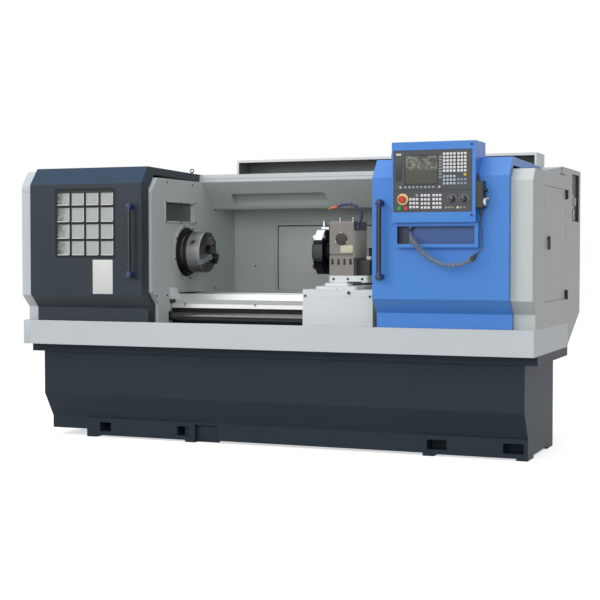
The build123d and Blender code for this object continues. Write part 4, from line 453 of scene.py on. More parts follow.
finishes = {
    base_enamel: ["base_stand"],
    grey_enamel: ["chip_tray", "headstock_cover", "top_beam"],
    duct_enamel: ["cable_duct"],
    side_enamel: ["right_cover", "electrical_cabinet", "side_door"],
    inner_enamel: ["bulkhead", "back_wall"],
    slate_enamel: ["left_door"],
    blue_enamel: ["right_door", "control_box"],
    way_casting: ["bed"],
    plain_casting: ["headstock", "screw_blocks", "tailstock_body"],
    slide_enamel: ["saddle", "apron", "cross_slide"],
    turret_enamel: ["turret_body"],
    bright_steel: ["spindle", "spindle_bearings", "motor_pulley", "quill", "tailstock_handwheel", "pendant_dial"],
    tool_steel: ["tool_blocks"],
    disc_steel: ["turret_disc"],
    black_steel: ["side_door_hinges", "side_door_handle"],
    chuck_steel: ["chuck_body"],
    highlighted_jaw_finish: ["jaw_2"],
    shaded_jaw_finish: ["jaw_1", "jaw_3"],
    collar_steel: ["spindle_collar"],
    thread_steel: ["z_screw"],
    black_abs: ["turret_motor", "z_motor", "main_motor", "pendant_body", "feed_knob", "spindle_knob"],
    navy_abs: ["left_door_handle", "right_door_handle"],
    panel_film: ["control_panel"],
    signal_red: ["e_stop_button", "stop_button"],
    isolator_grey: ["isolator_switch"],
    signal_green: ["start_button"],
    hose_blue: ["coolant_hose"],
    nozzle_orange: ["coolant_nozzle"],
    belt_rubber: ["drive_belts"],
    opal_lens: ["work_lamp"],
    clear_pane: ["left_door_window"],
    display: ["screen"],
}
for finish, names in finishes.items():
    for name in names:
        nodes[name].data.materials.clear()
        nodes[name].data.materials.append(finish)

# Finishes of the fittings: a material and the slot that it stands for

RUBBER = (wiper_rubber, "black_rubber")
BLACK_SCREW = (black_oxide, "dark_steel")
ZINC = (zinc_steel, "machined_steel")
GREY_SHEET = (grey_enamel, "grey_paint")
INNER_SHEET = (inner_enamel, "grey_paint")
BLANK_PLATE = (plate_white, "grey_paint")
BLACK_PLASTIC = (black_abs, "black_plastic")


# Modelling helpers


def start(name):
    """Names the primitive that was just added and returns it."""
    piece = bpy.context.object
    piece.name = name
    piece.data.name = name
    return piece


def deselect():
    """Nothing is selected."""
    bpy.ops.object.select_all(action="DESELECT")


def apply_place():
    """Puts the place, turn and size of what is selected into its mesh."""
    bpy.ops.object.transform_apply(location=True, rotation=True, scale=True)


def apply_modifier(piece, kind, name, **settings):
    """Adds a modifier to a piece, sets it and applies it."""
    modifier = piece.modifiers.new(name, kind)
    for key, value in settings.items():
        setattr(modifier, key, value)
    bpy.context.view_layer.objects.active = piece
    bpy.ops.object.modifier_apply(modifier=modifier.name)


def join(pieces):
    """Joins pieces into the first of them."""
    deselect()
    for piece in pieces:
        piece.select_set(True)
    bpy.context.view_layer.objects.active = pieces[0]
    if len(pieces) > 1:
        bpy.ops.object.join()
    return bpy.context.object


def settle(piece, body, material, smooth=30):
    """Applies a piece's place, shades it and joins it to its body and finish."""
    join([piece])
    apply_place()
    bpy.ops.object.shade_smooth_by_angle(angle=math.radians(smooth))
    piece.data.materials.clear()
    piece.data.materials.append(material)
    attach(piece, body)
    return piece


def bevel_edges(piece, width, segments=2):
    """Rounds every edge of a piece with an applied bevel."""
    apply_modifier(piece, "BEVEL", "edges", width=width, segments=segments, limit_method="ANGLE")


def block(name, low, high):
    """A plain block between two corners, to be worked on."""
    low, high = Vector(low), Vector(high)
    deselect()
    bpy.ops.mesh.primitive_cube_add(size=1, location=(low + high) / 2, scale=high - low)
    piece = start(name)
    apply_place()
    return piece


def drum(name, centre, outward, radius, depth, sides):
    """A plain drum about a line through its centre, to be worked on."""
    turn = Vector(UP).rotation_difference(Vector(outward)).to_euler()
    deselect()
    bpy.ops.mesh.primitive_cylinder_add(vertices=sides, radius=radius, depth=depth, location=centre, rotation=turn)
    return start(name)


def bore(piece, core):
    """Cuts a core out of a piece."""
    apply_modifier(piece, "BOOLEAN", "bore", object=core, solver="EXACT")
    bpy.data.objects.remove(core)


def repeat_grid(piece, columns, rows, pitch):
    """Repeats a piece along X and down Z."""
    for axis, count, step in (("across", columns, (pitch[0], 0, 0)), ("down", rows, (0, 0, -pitch[1]))):
        apply_modifier(
            piece, "ARRAY", axis, count=count, use_relative_offset=False, use_constant_offset=True,
            constant_offset_displace=step,
        )


def plate(name, low, high, body, material, slot, round_by=1 * MM):
    """A small plate between two corners, its edges rounded."""
    piece = block(name, low, high)
    bevel_edges(piece, min(round_by, min(Vector(high) - Vector(low)) * 0.45))
    return settle(piece, body, material)


def key_grid(name, first, size, pitch, columns, rows, body, material, slot):
    """A grid of domed key caps from its top left one, repeated along X and down Z."""
    half = Vector(size) / 2
    piece = block(name, Vector(first) - half, Vector(first) + half)
    bevel_edges(piece, min(size) * 0.3)
    repeat_grid(piece, columns, rows, pitch)
    return settle(piece, body, material)


def cap_screws(name, places, outward, radius, body, material, slot, sunk=0.0):
    """Socket-head screws: a short drum with a rounded rim and a six-sided socket, one at each place.

    A sunk screw's head is partly let into what it holds, by a share of its radius.
    """
    outward = Vector(outward).normalized()
    heads = []
    for i, place in enumerate(places):
        seat = Vector(place) - outward * sunk * radius
        head = drum(f"{name}_{i + 1}", seat + outward * 0.4 * radius, outward, radius, 1.2 * radius, HEAD_SIDES)
        bevel_edges(head, 0.15 * radius)
        socket = drum("socket", seat + outward * 1.1 * radius, outward, 0.5 * radius, radius, SOCKET_SIDES)
        bore(head, socket)
        heads.append(head)
    piece = join(heads)
    piece.name = name
    return settle(piece, body, material)


def ring_plate(name, centre, outward, inner, outer, thickness, body, material, slot):
    """A flat ring that lies on a face, made from a disc whose middle is bored out, with rounded rims."""
    outward = Vector(outward).normalized()
    piece = drum(name, Vector(centre) + outward * thickness / 2, outward, outer, thickness, RING_SIDES)
    bore(piece, drum("core", centre, outward, inner, 4 * thickness, RING_SIDES))
    bevel_edges(piece, thickness * 0.25)
    return settle(piece, body, material)


def turned(name, base, outward, sections, body, material, slot, sides=32):
    """A turned piece grown from its base, with a radius and a height in millimetres for each section."""
    outward = Vector(outward).normalized()
    base = Vector(base)
    sections = [(radius * MM, height * MM) for radius, height in sections]
    radius, height = sections[0]
    piece = drum(name, base + outward * height / 2, outward, radius, height, sides)
    apply_place()
    bpy.ops.object.mode_set(mode="EDIT")
    bpy.ops.mesh.select_mode(type="FACE")
    bpy.ops.mesh.select_all(action="DESELECT")
    bpy.ops.object.mode_set(mode="OBJECT")
    max(piece.data.polygons, key=lambda face: face.center.dot(outward)).select = True
    bpy.ops.object.mode_set(mode="EDIT")
    top = base + outward * height
    for next_radius, next_height in sections[1:]:
        if abs(next_radius - radius) > SAME_RADIUS:
            grow = next_radius / radius
            bpy.ops.mesh.extrude_region_move(TRANSFORM_OT_translate={"value": (0, 0, 0)})
            bpy.ops.transform.resize(value=(grow, grow, grow), center_override=top)
        bpy.ops.mesh.extrude_region_move(TRANSFORM_OT_translate={"value": outward * next_height})
        top += outward * next_height
        radius = next_radius
    bpy.ops.object.mode_set(mode="OBJECT")
    bevel_edges(piece, 0.12 * min(radius for radius, _ in sections))
    return settle(piece, body, material)


def cut_block(name, low, high, cuts, body, material, slot):
    """A block between two corners, cut down plane by plane (a point and the side to take off), edges rounded."""
    piece = block(name, low, high)
    bpy.ops.object.mode_set(mode="EDIT")
    for point, away in cuts:
        bpy.ops.mesh.select_all(action="SELECT")
        bpy.ops.mesh.bisect(plane_co=point, plane_no=away, use_fill=True, clear_outer=True)
    bpy.ops.mesh.select_all(action="SELECT")
    bpy.ops.mesh.normals_make_consistent(inside=False)
    bpy.ops.object.mode_set(mode="OBJECT")
    bevel_edges(piece, 1.5 * MM)
    return settle(piece, body, material)


def bolted_cover(name, low, high, outward, body, material, slot):
    """A flat cover plate with a screw at each corner and halfway along its upper and lower edges."""
    low, high = Vector(low), Vector(high)
    plate(name, low, high, body, material, slot, 1.5 * MM)
    axis = 0 if abs(outward[1]) else 1
    face = high[1 - axis] if sum(outward) > 0 else low[1 - axis]
    places = []
    for share in (0.0, 0.5, 1.0):
        along = low[axis] + COVER_INSET + (high[axis] - low[axis] - 2 * COVER_INSET) * share
        for z in (low.z + COVER_INSET, high.z - COVER_INSET):
            places.append((along, face, z) if axis == 0 else (face, along, z))
    cap_screws(f"{name}_screws", places, outward, 6 * MM, body, black_oxide, "machined_steel", 0.75)


def lifting_eye(name, base, radius_mm, body, material, slot):
    """A lifting eye: a ring that stands on a collar."""
    collar = [(radius_mm, 0.3 * radius_mm), (0.6 * radius_mm, 0.4 * radius_mm)]
    stem = turned(f"{name}_collar", base, UP, collar, body, material, slot)
    deselect()
    bpy.ops.mesh.primitive_torus_add(
        major_segments=32, minor_segments=12, major_radius=radius_mm * MM, minor_radius=0.3 * radius_mm * MM,
        location=base + mm(0, 0, 1.9 * radius_mm), rotation=(math.pi / 2, 0, 0),
    )
    ring = start(name)
    apply_place()
    return settle(join([ring, stem]), body, material, 40)


def circle(centre, radius, angles, across=BACK):
    """Places round a line, with 0 degrees across, by default to the back, and 90 degrees up."""
    return [
        Vector(centre) + radius * (Vector(across) * math.cos(a) + Vector(UP) * math.sin(a))
        for a in map(math.radians, angles)
    ]


def mm(x, y, z):
    """A point from its place in millimetres."""
    return Vector((x, y, z)) * MM


# Pendant cable: out of the pocket's gland, curled, then straight up into the pendant

CABLE_ROUTE_MM = [
    (912, -664, 1255), (912, -664, 1232), (920, -684, 1212), (946, -712, 1180), (990, -728, 1136),
    (1048, -732, 1090), (1120, -730, 1060), (1194, -724, 1062), (1256, -714, 1088), (1288, -702, 1124),
    (1302.4, -696.6, 1140.2), (1306, -690, 1184), (1302, -682, 1240), (1297, -679, 1298), (1297, -679, 1342),
]
CABLE_DIAMETER = 7 * MM
COIL_RADII = (13.5 * MM, 10.5 * MM)
COIL_PITCH = 14 * MM
COIL_POINTS = 14
COIL_START = 30 * MM
COIL_END_ROUTE_POINT = 9
COIL_RAMP = 50 * MM
RAMP_PITCH = 66 * MM
STRAIGHT_STEP = 4 * MM
LAST_STEP = 2 * MM


def route_line(name, points):
    """Closely spaced points along a smooth curve that has these points as its control points."""
    curve = bpy.data.curves.new(name, "CURVE")
    curve.dimensions = "3D"
    curve.resolution_u = 24
    spline = curve.splines.new("NURBS")
    spline.points.add(len(points) - 1)
    for point, place in zip(spline.points, points):
        point.co = (*place, 1)
    spline.order_u = 3
    spline.use_endpoint_u = True
    holder = bpy.data.objects.new(name, curve)
    bpy.context.scene.collection.objects.link(holder)
    bpy.context.view_layer.update()
    mesh = bpy.data.meshes.new_from_object(holder.evaluated_get(bpy.context.evaluated_depsgraph_get()))
    line = [v.co.copy() for v in mesh.vertices]
    bpy.data.meshes.remove(mesh)
    bpy.data.objects.remove(holder)
    bpy.data.curves.remove(curve)
    return line


def curl(line, first, last):
    """The cable's own points: straight to first, wound round the line up to last, then straight again."""
    lengths = [0.0]
    for a, b in zip(line, line[1:]):
        lengths.append(lengths[-1] + (b - a).length)
    side = Vector((1, 0, 0))
    points, i, travel, angle = [], 0, 0.0, 0.0
    while travel < lengths[-1]:
        while i < len(line) - 2 and lengths[i + 1] < travel:
            i += 1
        share = (travel - lengths[i]) / (lengths[i + 1] - lengths[i])
        centre = line[i].lerp(line[i + 1], share)
        ahead = (line[i + 1] - line[i]).normalized()
        side = (side - ahead * side.dot(ahead)).normalized()
        inside = first < travel < last
        swell = min(1.0, (travel - first) / COIL_RAMP, (last - travel) / COIL_RAMP) if inside else 0.0
        swell = swell * swell * (3 - 2 * swell)
        offset = side * math.cos(angle) + ahead.cross(side) * math.sin(angle)
        coil = COIL_RADII[0] + (COIL_RADII[1] - COIL_RADII[0]) * (travel - first) / (last - first)
        points.append(centre + offset * coil * swell)
        step = COIL_PITCH / COIL_POINTS if inside else STRAIGHT_STEP
        angle += math.tau * step / (RAMP_PITCH + (COIL_PITCH - RAMP_PITCH) * swell)
        travel += step
    if (points[-1] - line[-1]).length < LAST_STEP:
        points.pop()
    points.append(line[-1])
    return points


route = [Vector(p) * MM for p in CABLE_ROUTE_MM]
cable_line = route_line("cable_route", route)
coil_tip = route[COIL_END_ROUTE_POINT]
nearest = min(range(len(cable_line)), key=lambda i: (cable_line[i] - coil_tip).length)
coil_end = sum((b - a).length for a, b in zip(cable_line[:nearest], cable_line[1 : nearest + 1]))
cable_points = curl(cable_line, COIL_START, coil_end)
cable_curve = bpy.data.curves.new("pendant_cable", "CURVE")
cable_curve.dimensions = "3D"
cable_curve.bevel_depth = CABLE_DIAMETER / 2
cable_curve.bevel_resolution = 2
cable_curve.resolution_u = 2
cable_spline = cable_curve.splines.new("NURBS")
cable_spline.points.add(len(cable_points) - 1)
for point, place in zip(cable_spline.points, cable_points):
    point.co = (*place, 1)
cable_spline.order_u = 3
cable_spline.use_endpoint_u = True
cable = bpy.data.objects.new("pendant_cable", cable_curve)
bpy.context.scene.collection.objects.link(cable)
cable.data.materials.append(cable_sheath_painted_sheen)
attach(cable, "right_door")
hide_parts("pendant_cord", "pendant_lead")

# Cable fittings: tapered glands and a sleeve

CABLE_FITTINGS = [
    ("cable_gland", route[0] + mm(0, 0, 2), DOWN, [(11, 6), (8, 5), (6, 6), (4.5, 6)]),
    ("coil_end_sleeve", route[8], route[9] - route[8], [(14, 18), (11, 18), (6.5, 14)]),
    ("pendant_strain_relief", route[-1] + mm(0, 0, 2), DOWN, [(9, 8), (6.5, 10), (5.5, 10), (4.5, 10)]),
]
for name, base, outward, sections in CABLE_FITTINGS:
    turned(name, base, outward, sections, "right_door", black_abs, "black_rubber")

# Control panel: films, keys, rings and scales

face_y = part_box("control_panel")[0].y
KEY_DEPTH = 5 * MM


def panel_point(x_mm, z_mm, proud_mm=0.0):
    """A point on the panel's face, with its place given in millimetres."""
    return Vector((x_mm * MM, face_y - proud_mm * MM, z_mm * MM))


# Plates on the panel: name, left, right, low, high, how proud they stand and finish, in millimetres
PANEL_PLATES = [
    ("panel_divider", 834, 1257, 1453, 1457, 1.2, black_abs),
    ("screen_bezel_top", 893, 1076, 1637, 1642, 2.5, black_abs),
    ("screen_bezel_bottom", 893, 1076, 1484, 1489, 2.5, black_abs),
    ("screen_bezel_left", 893, 899, 1484, 1642, 2.5, black_abs),
    ("screen_bezel_right", 1073, 1076, 1484, 1642, 2.5, black_abs),
    ("card_slot_cover", 844, 876, 1506, 1600, 2.5, black_abs),
    ("blank_maker_plate", 846, 874, 1640, 1650, 1.0, plate_white),
]
for name, left, right, low, high, proud, finish in PANEL_PLATES:
    corners = panel_point(left, low, proud), panel_point(right, high)
    plate(name, *corners, "right_door", finish, "panel_face", 0.6 * MM)

# Keypads: name, first key, key size, pitch, columns, rows and finish, in millimetres
KEYPADS = [
    ("soft_keys", (898, 1472), (9, 9), (21.8, 20), 8, 1, key_pale_blue),
    ("page_key_left", (870, 1472), (9, 9), (20, 20), 1, 1, key_white),
    ("page_key_right", (1084, 1472), (9, 9), (20, 20), 1, 1, key_white),
    ("menu_keys", (1088, 1629), (16, 9), (20, 15.4), 1, 8, key_grey),
    ("letter_keys", (1109, 1643.5), (13.5, 12.5), (18.4, 17.8), 4, 6, key_white),
    ("number_keys", (1186, 1643.5), (13.5, 12.5), (18.3, 17.8), 3, 6, key_white),
    ("cursor_keys", (1109, 1526), (13, 12), (18.4, 18.5), 4, 3, key_pale_blue),
    ("edit_keys", (1186, 1508), (13, 12), (18.3, 20), 3, 2, key_grey),
    ("reset_key", (1222, 1534), (15, 13), (20, 20), 1, 1, key_yellow),
    ("mode_keys", (926, 1408), (13.5, 12.5), (18.5, 20.5), 3, 3, key_white),
    ("mode_key_top", (961, 1428), (11, 10), (20, 20), 1, 1, key_pale_blue),
    ("axis_keys", (989, 1428), (13.5, 12.5), (18.4, 21.3), 3, 4, key_white),
    ("spindle_keys", (1053, 1428), (13.5, 12.5), (17.6, 21.3), 3, 4, key_white),
    ("coolant_keys", (1121, 1363), (11, 10), (17.6, 20), 3, 1, key_olive),
    ("light_key", (1183, 1363), (12, 11), (20, 20), 1, 1, key_white),
    ("clamp_keys", (1201, 1363), (11, 10), (18, 20), 2, 1, key_rose),
]
for name, (x, z), (width, height), pitch, columns, rows, finish in KEYPADS:
    key_grid(
        name, panel_point(x, z), (width * MM, KEY_DEPTH, height * MM), (pitch[0] * MM, pitch[1] * MM), columns,
        rows, "right_door", finish, "panel_face",
    )

SCALE_TICKS = 20
for knob in ("feed_knob", "spindle_knob"):
    low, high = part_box(knob)
    middle = (low + high) / 2
    ring_plate(
        f"{knob}_scale", (middle.x, face_y, middle.z), FRONT, 0.010, 0.027, 0.2 * MM, "right_door",
        knob_dial(f"{knob} scale film", middle, SCALE_TICKS), "panel_face",
    )
    nose = Vector((middle.x, low.y, middle.z))
    plate(
        f"{knob}_pointer", nose + mm(-1.2, -0.8, 2), nose + mm(1.2, 1, 13), knob, key_white, "black_plastic",
        0.4 * MM,
    )

low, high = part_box("e_stop_button")
stop_centre = ((low.x + high.x) / 2, face_y, (low.z + high.z) / 2)
ring_plate("stop_ring", stop_centre, FRONT, 0.0105, 0.031, 4 * MM, "right_door", stop_yellow, "panel_face")
ring_plate("stop_ring_rim", stop_centre, FRONT, 0.0312, 0.0345, 3 * MM, "right_door", black_abs, "panel_face")

# Faces and corners that the fittings sit on

wall_x = spindle_low.x
spindle_axis = (wall_x, *spindle_centre)
FLANGE_THICK = 5 * MM
frame_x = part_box("bulkhead")[1].x
carriage_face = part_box("saddle")[0].y
slide_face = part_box("cross_slide")[0].y
turret_low, turret_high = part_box("turret_body")
COVER_PROUD = 5 * MM
turret_face = turret_low.y + COVER_PROUD
cover_x, cover_z = 0.293, 1.207
motor_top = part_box("turret_motor")[1].z
turret_axis = ((disc_low.y + disc_high.y) / 2, (disc_low.z + disc_high.z) / 2)
station_y = disc_low.y - 5 * MM
holder_low = disc_high.z - 2 * MM
hatch_y = 0.610
GAP_SHADE_WIDTH = 7 * MM
beam_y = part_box("top_beam")[0].y
door_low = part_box("left_door")[0]
cover_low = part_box("headstock_cover")[0]
tray_low, tray_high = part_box("chip_tray")
TRAY_CORNER = 45 * MM
wall_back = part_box("back_wall")[1].y
end_x = cabinet_high.x
recess_x = end_x - 14 * MM
iso_low, iso_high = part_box("isolator_switch")

ring_plate("spindle_seal", spindle_axis, RIGHT, 0.1375, 0.150, 4 * MM, "machine", *RUBBER)
ring_plate(
    "spindle_flange", spindle_axis, RIGHT, 0.1502, 0.176, FLANGE_THICK, "machine", side_enamel, "grey_paint"
)
ring_plate(
    "isolator_plate", (recess_x, (iso_low.y + iso_high.y) / 2, (iso_low.z + iso_high.z) / 2), RIGHT, 0.0285,
    0.044, 2 * MM, "machine", *BLANK_PLATE,
)

# Plates: name, two corners, body, finish and rounding in millimetres

hatch_front, hatch_back, fold_front = hatch_y - 2 * MM, hatch_y + 6 * MM, hatch_y + 1 * MM
PLATES = [
    ("bulkhead_window_pane", mm(-728, -379, 1317), mm(-724, 2, 1427), "machine", (dark_pane, "window_glass"), 1),
    ("way_wiper_block", mm(-699, -325, 848), mm(-683, -238, 917), "machine", GREY_SHEET, 2),
    ("way_wiper_lip", mm(-699, -328, 826), mm(-681, -244, 847), "machine", RUBBER, 2),
    ("slide_wiper", mm(368, -154, 935), mm(456, -146, 958), "cross_slide", RUBBER, 2),
    (
        "blank_turret_plate", (0.286, turret_face - 1.5 * MM, 1.127), (0.364, turret_face + 1 * MM, 1.170),
        "cross_slide", (plate_beige, "grey_paint"), 0.6,
    ),
    # Painted light: a pale plate on the turret's side face, which is in shade.
    (
        "turret_side_painted_light_cover", (turret_high.x - 1 * MM, -0.034, 1.095), (turret_high.x + 3 * MM, 0.194, 1.258),
        "cross_slide", (turret_side_painted_light_enamel, "grey_paint"), 1.5,
    ),
    ("turret_cable_box", mm(420, 40, 1083), mm(448, 76, 1104), "cross_slide", BLANK_PLATE, 3),
    (
        "blank_station_cover", (0.117, station_y, turret_axis[1] - 38 * MM),
        (0.184, disc_low.y + 2 * MM, turret_axis[1] + 44 * MM), "turret", BLACK_PLASTIC, 3,
    ),
    (
        "boring_holder", (0.134, turret_axis[0] - 24 * MM, holder_low),
        (0.184, turret_axis[0] + 24 * MM, holder_low + 20 * MM), "turret", (tool_steel, "machined_steel"), 3,
    ),
    # Painted shade: dark strips along the hatch's left, top and right edges stand for the shade in its gap.
    ("hatch_gap_shade_left", (-0.390, hatch_front, 0.884), (-0.390 + GAP_SHADE_WIDTH, hatch_back, 1.302), "machine", RUBBER, 1.5),
    ("hatch_gap_shade_top", (-0.390, hatch_front, 1.297), (0.424, hatch_back, 1.297 + GAP_SHADE_WIDTH), "machine", RUBBER, 1.5),
    ("hatch_gap_shade_right", (0.420, hatch_front, 0.884), (0.420 + GAP_SHADE_WIDTH, hatch_back, 1.302), "machine", RUBBER, 1.5),
    ("wall_fold_top", (-0.408, fold_front, 1.322), (0.445, hatch_back, 1.327), "machine", INNER_SHEET, 1.5),
    ("wall_fold_left", (-0.412, fold_front, 0.884), (-0.406, hatch_back, 1.327), "machine", INNER_SHEET, 1.5),
    (
        "beam_seam", (-0.700, beam_y - 1.5 * MM, 1.5885), (0.700, beam_y + 1 * MM, 1.5915), "machine",
        (side_enamel, "grey_paint"), 0.8,
    ),
    (
        "blank_door_plate", (-1.041, door_low.y - 1.5 * MM, 0.885), (-0.908, door_low.y + 0.5 * MM, 1.085),
        "left_door", BLANK_PLATE, 0.6,
    ),
    (
        "window_top_gasket", (pane_low.x + 4 * MM, pane_low.y - 2.4 * MM, pane_high.z - 22 * MM),
        (pane_high.x - 4 * MM, pane_low.y + 0.5 * MM, pane_high.z - 8 * MM), "left_door", RUBBER, 1,
    ),
    (
        "blank_recess_strip", (recess_x - 0.5 * MM, 0.582, 1.324), (recess_x + 2 * MM, 0.610, 1.384), "machine",
        BLANK_PLATE, 0.6,
    ),
    ("end_panel_slot", (end_x - 1 * MM, 0.105, 1.5705), (end_x + 1 * MM, 0.258, 1.5765), "machine", RUBBER, 0.8),
]
for i, z in enumerate((1.352, 1.640), 1):
    corner = Vector((box_low.x, box_low.y, z))
    PLATES.append(
        (f"box_hinge_{i}", corner + mm(-4, 4, -14), corner + mm(1, 16, 14), "right_door", BLACK_PLASTIC, 2)
    )
for i, x in enumerate((duct_low.x, duct_high.x - 14 * MM), 1):
    corner = Vector((x, duct_low.y, duct_low.z))
    top = corner + mm(14, 3, 0) + Vector((0, 0, duct_high.z - duct_low.z))
    PLATES.append(
        (f"duct_end_flange_{i}", corner - mm(0, 1, 0), top, "machine", (duct_enamel, "grey_paint"), 1)
    )
SLOT_LEFT, SLOT_RIGHT = -0.590, -0.360
WEB = 6 * MM
for i, y in enumerate((-0.350, 0.262), 1):
    PLATES.append(
        (
            f"base_slot_web_{i}", (SLOT_LEFT, y, 0.002), (SLOT_RIGHT, y + WEB, 0.108), "machine",
            (base_enamel, "dark_paint"), 1.5,
        )
    )
for name, low, high, body, finish, round_mm in PLATES:
    plate(name, low, high, body, *finish, round_mm * MM)

# Turned pieces: name, base, direction, sections in millimetres, body, finish and sides

NOTCH_DEPTH = 22 * MM
ROUND, HEX = 32, 6
TURNED = [
    (
        "saddle_bolt_boss", (0.462, carriage_face, 0.900), FRONT, [(14, 2.5)], "carriage",
        (slide_enamel, "grey_paint"), ROUND,
    ),
    (
        "turret_round_cover", (cover_x, turret_low.y, cover_z), FRONT, [(36, 2), (30, 1.5)], "cross_slide",
        (speckled_enamel, "dark_paint"), ROUND,
    ),
    (
        "turret_sensor_post", (0.425, 0.100, motor_top), UP, [(15, 8), (9, 52), (11, 12)], "cross_slide",
        BLACK_PLASTIC, ROUND,
    ),
    (
        "boring_bar", (0.146, turret_axis[0], holder_low + 19 * MM), UP, [(12, 6), (10.5, 26), (7, 6)], "turret",
        ZINC, ROUND,
    ),
]
for i, x in enumerate((236, 273, 311, 348), 1):
    notch = (x * MM, turret_face + NOTCH_DEPTH, 1.062)
    TURNED.append((f"turret_clamp_bolt_{i}", notch, FRONT, [(6.5, 9), (4.5, 10)], "cross_slide", BLACK_SCREW, HEX))
for i, x in enumerate((249, 331), 1):
    seat = (x * MM, 0.060, turret_high.z)
    TURNED.append((f"turret_lifting_screw_{i}", seat, UP, [(13, 4), (7, 8), (10, 10)], "cross_slide", ZINC, ROUND))
for name, base, outward, sections, body, finish, sides in TURNED:
    turned(name, base, outward, sections, body, *finish, sides)

# Screws: name, places, direction, radius in millimetres, body, finish and how far they are sunk

KEY_ANGLE = 154.5
chuck_radius = chuck_high.z - spindle_centre[1]
key_out = (0, math.cos(math.radians(KEY_ANGLE)), math.sin(math.radians(KEY_ANGLE)))
BULKHEAD_YZ = ((-359, 1546), (-22, 1543), (-499, 872), (-364, 872), (300, 1400), (300, 900))
END_PANEL_YZ = ((-480, 1500), (-480, 1100), (-480, 700), (0, 800), (240, 800), (240, 1560), (-200, 1560))
SCREWS = [
    ("box_locks", [(1.258, box_low.y, z * MM) for z in (1690, 1322)], FRONT, 6, "right_door", BLACK_PLASTIC, 0),
    (
        "spindle_flange_screws", circle((wall_x + FLANGE_THICK, *spindle_centre), 0.164, range(15, 375, 45)), RIGHT,
        5, "machine", BLACK_SCREW, 0,
    ),
    ("bulkhead_screws", [(wall_x, y * MM, z * MM) for y, z in BULKHEAD_YZ], RIGHT, 5, "machine", BLACK_SCREW, 0),
    (
        "window_frame_screws", [(frame_x, y * MM, z * MM) for z in (1311, 1433) for y in (-385, -188, 8)], RIGHT, 4,
        "machine", BLACK_SCREW, 0,
    ),
    (
        "bed_bolts", [(x * MM, bed_low.y, 0.818) for x in (-609, -150, 760, 1219)], FRONT, 7.5, "machine",
        BLACK_SCREW, 0.9,
    ),
    (
        "chuck_key_socket", circle((-0.607, *spindle_centre), chuck_radius, [KEY_ANGLE]), key_out, 11, "spindle",
        BLACK_SCREW, 0.85,
    ),
    (
        "chuck_screws", circle((chuck_high.x, *spindle_centre), 0.088, (30, 150, 270)), RIGHT, 9, "spindle",
        BLACK_SCREW, 0.7,
    ),
    ("saddle_screws", [(x, carriage_face, 0.880) for x in (0.197, 0.587)], FRONT, 7, "carriage", BLACK_SCREW, 0.4),
    ("saddle_bolt", [(0.462, carriage_face - 2.5 * MM, 0.900)], FRONT, 9, "carriage", BLACK_SCREW, 0.3),
    ("slide_screws", [(0.382, slide_face, 0.925)], FRONT, 5, "cross_slide", ZINC, 0.5),
    ("turret_foot_bolts", [mm(x, -62, 971) for x in (252, 341, 430)], FRONT, 7, "cross_slide", BLACK_SCREW, 0.3),
    (
        "turret_cover_screws", circle((cover_x, turret_face, cover_z), 0.039, (95, 205, 335), RIGHT), FRONT, 5.5,
        "cross_slide", ZINC, 0,
    ),
    (
        "station_cover_screws",
        [(x, station_y, turret_axis[1] + z) for x in (0.130, 0.171) for z in (-0.026, 0.032)],
        FRONT, 4.5, "turret", BLACK_SCREW, 0.6,
    ),
    ("end_panel_screws", [(end_x, y * MM, z * MM) for y, z in END_PANEL_YZ], RIGHT, 5, "machine", ZINC, 0.4),
]
for name, places, outward, radius_mm, body, finish, sunk in SCREWS:
    cap_screws(name, places, outward, radius_mm * MM, body, *finish, sunk)

# Door handles: a tube between two rounded elbows, fused into one moulding

GRIP_SHIFT = 8 * MM
BAR_DEPTH = 18 * MM
BAR_INSET = 20 * MM
ELBOW_INSET = 22 * MM
BAR_RADIUS, ELBOW_RADIUS, STEM_RADIUS, FOOT_RADIUS = 13 * MM, 19 * MM, 15 * MM, 18 * MM
FOOT = 8 * MM
GRIP_SIDES = 24


def door_grip(node, body):
    """A grip that stands for the handle's solid: bar, round elbows and round feet fused by a voxel remesh."""
    low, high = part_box(node)
    x, bar_y, foot = (low.x + high.x) / 2 + GRIP_SHIFT, low.y + BAR_DEPTH, high.y
    length = high.z - low.z - 2 * BAR_INSET
    parts = [drum(f"{node}_grip", (x, bar_y, (low.z + high.z) / 2), UP, BAR_RADIUS, length, GRIP_SIDES)]
    for z in (low.z + ELBOW_INSET, high.z - ELBOW_INSET):
        bpy.ops.mesh.primitive_uv_sphere_add(
            segments=GRIP_SIDES, ring_count=16, radius=ELBOW_RADIUS, location=(x, bar_y, z), scale=(1, 1, 1.15)
        )
        parts.append(start("elbow"))
        parts.append(drum("elbow_stem", (x, (bar_y + foot) / 2, z), FRONT, STEM_RADIUS, foot - bar_y, GRIP_SIDES))
        parts.append(drum("elbow_foot", (x, foot - FOOT / 2, z), FRONT, FOOT_RADIUS, FOOT, GRIP_SIDES))
    grip = join(parts)
    apply_place()
    apply_modifier(grip, "REMESH", "fuse", mode="VOXEL", voxel_size=2.5 * MM)
    apply_modifier(grip, "SMOOTH", "soften", iterations=6)
    settle(grip, body, navy_abs, 60)
    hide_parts(node)


door_grip("left_door_handle", "left_door")
door_grip("right_door_handle", "right_door")

# Left door: pale strips of painted light on the right and lower reveal of each pane, lifting eye on its roof

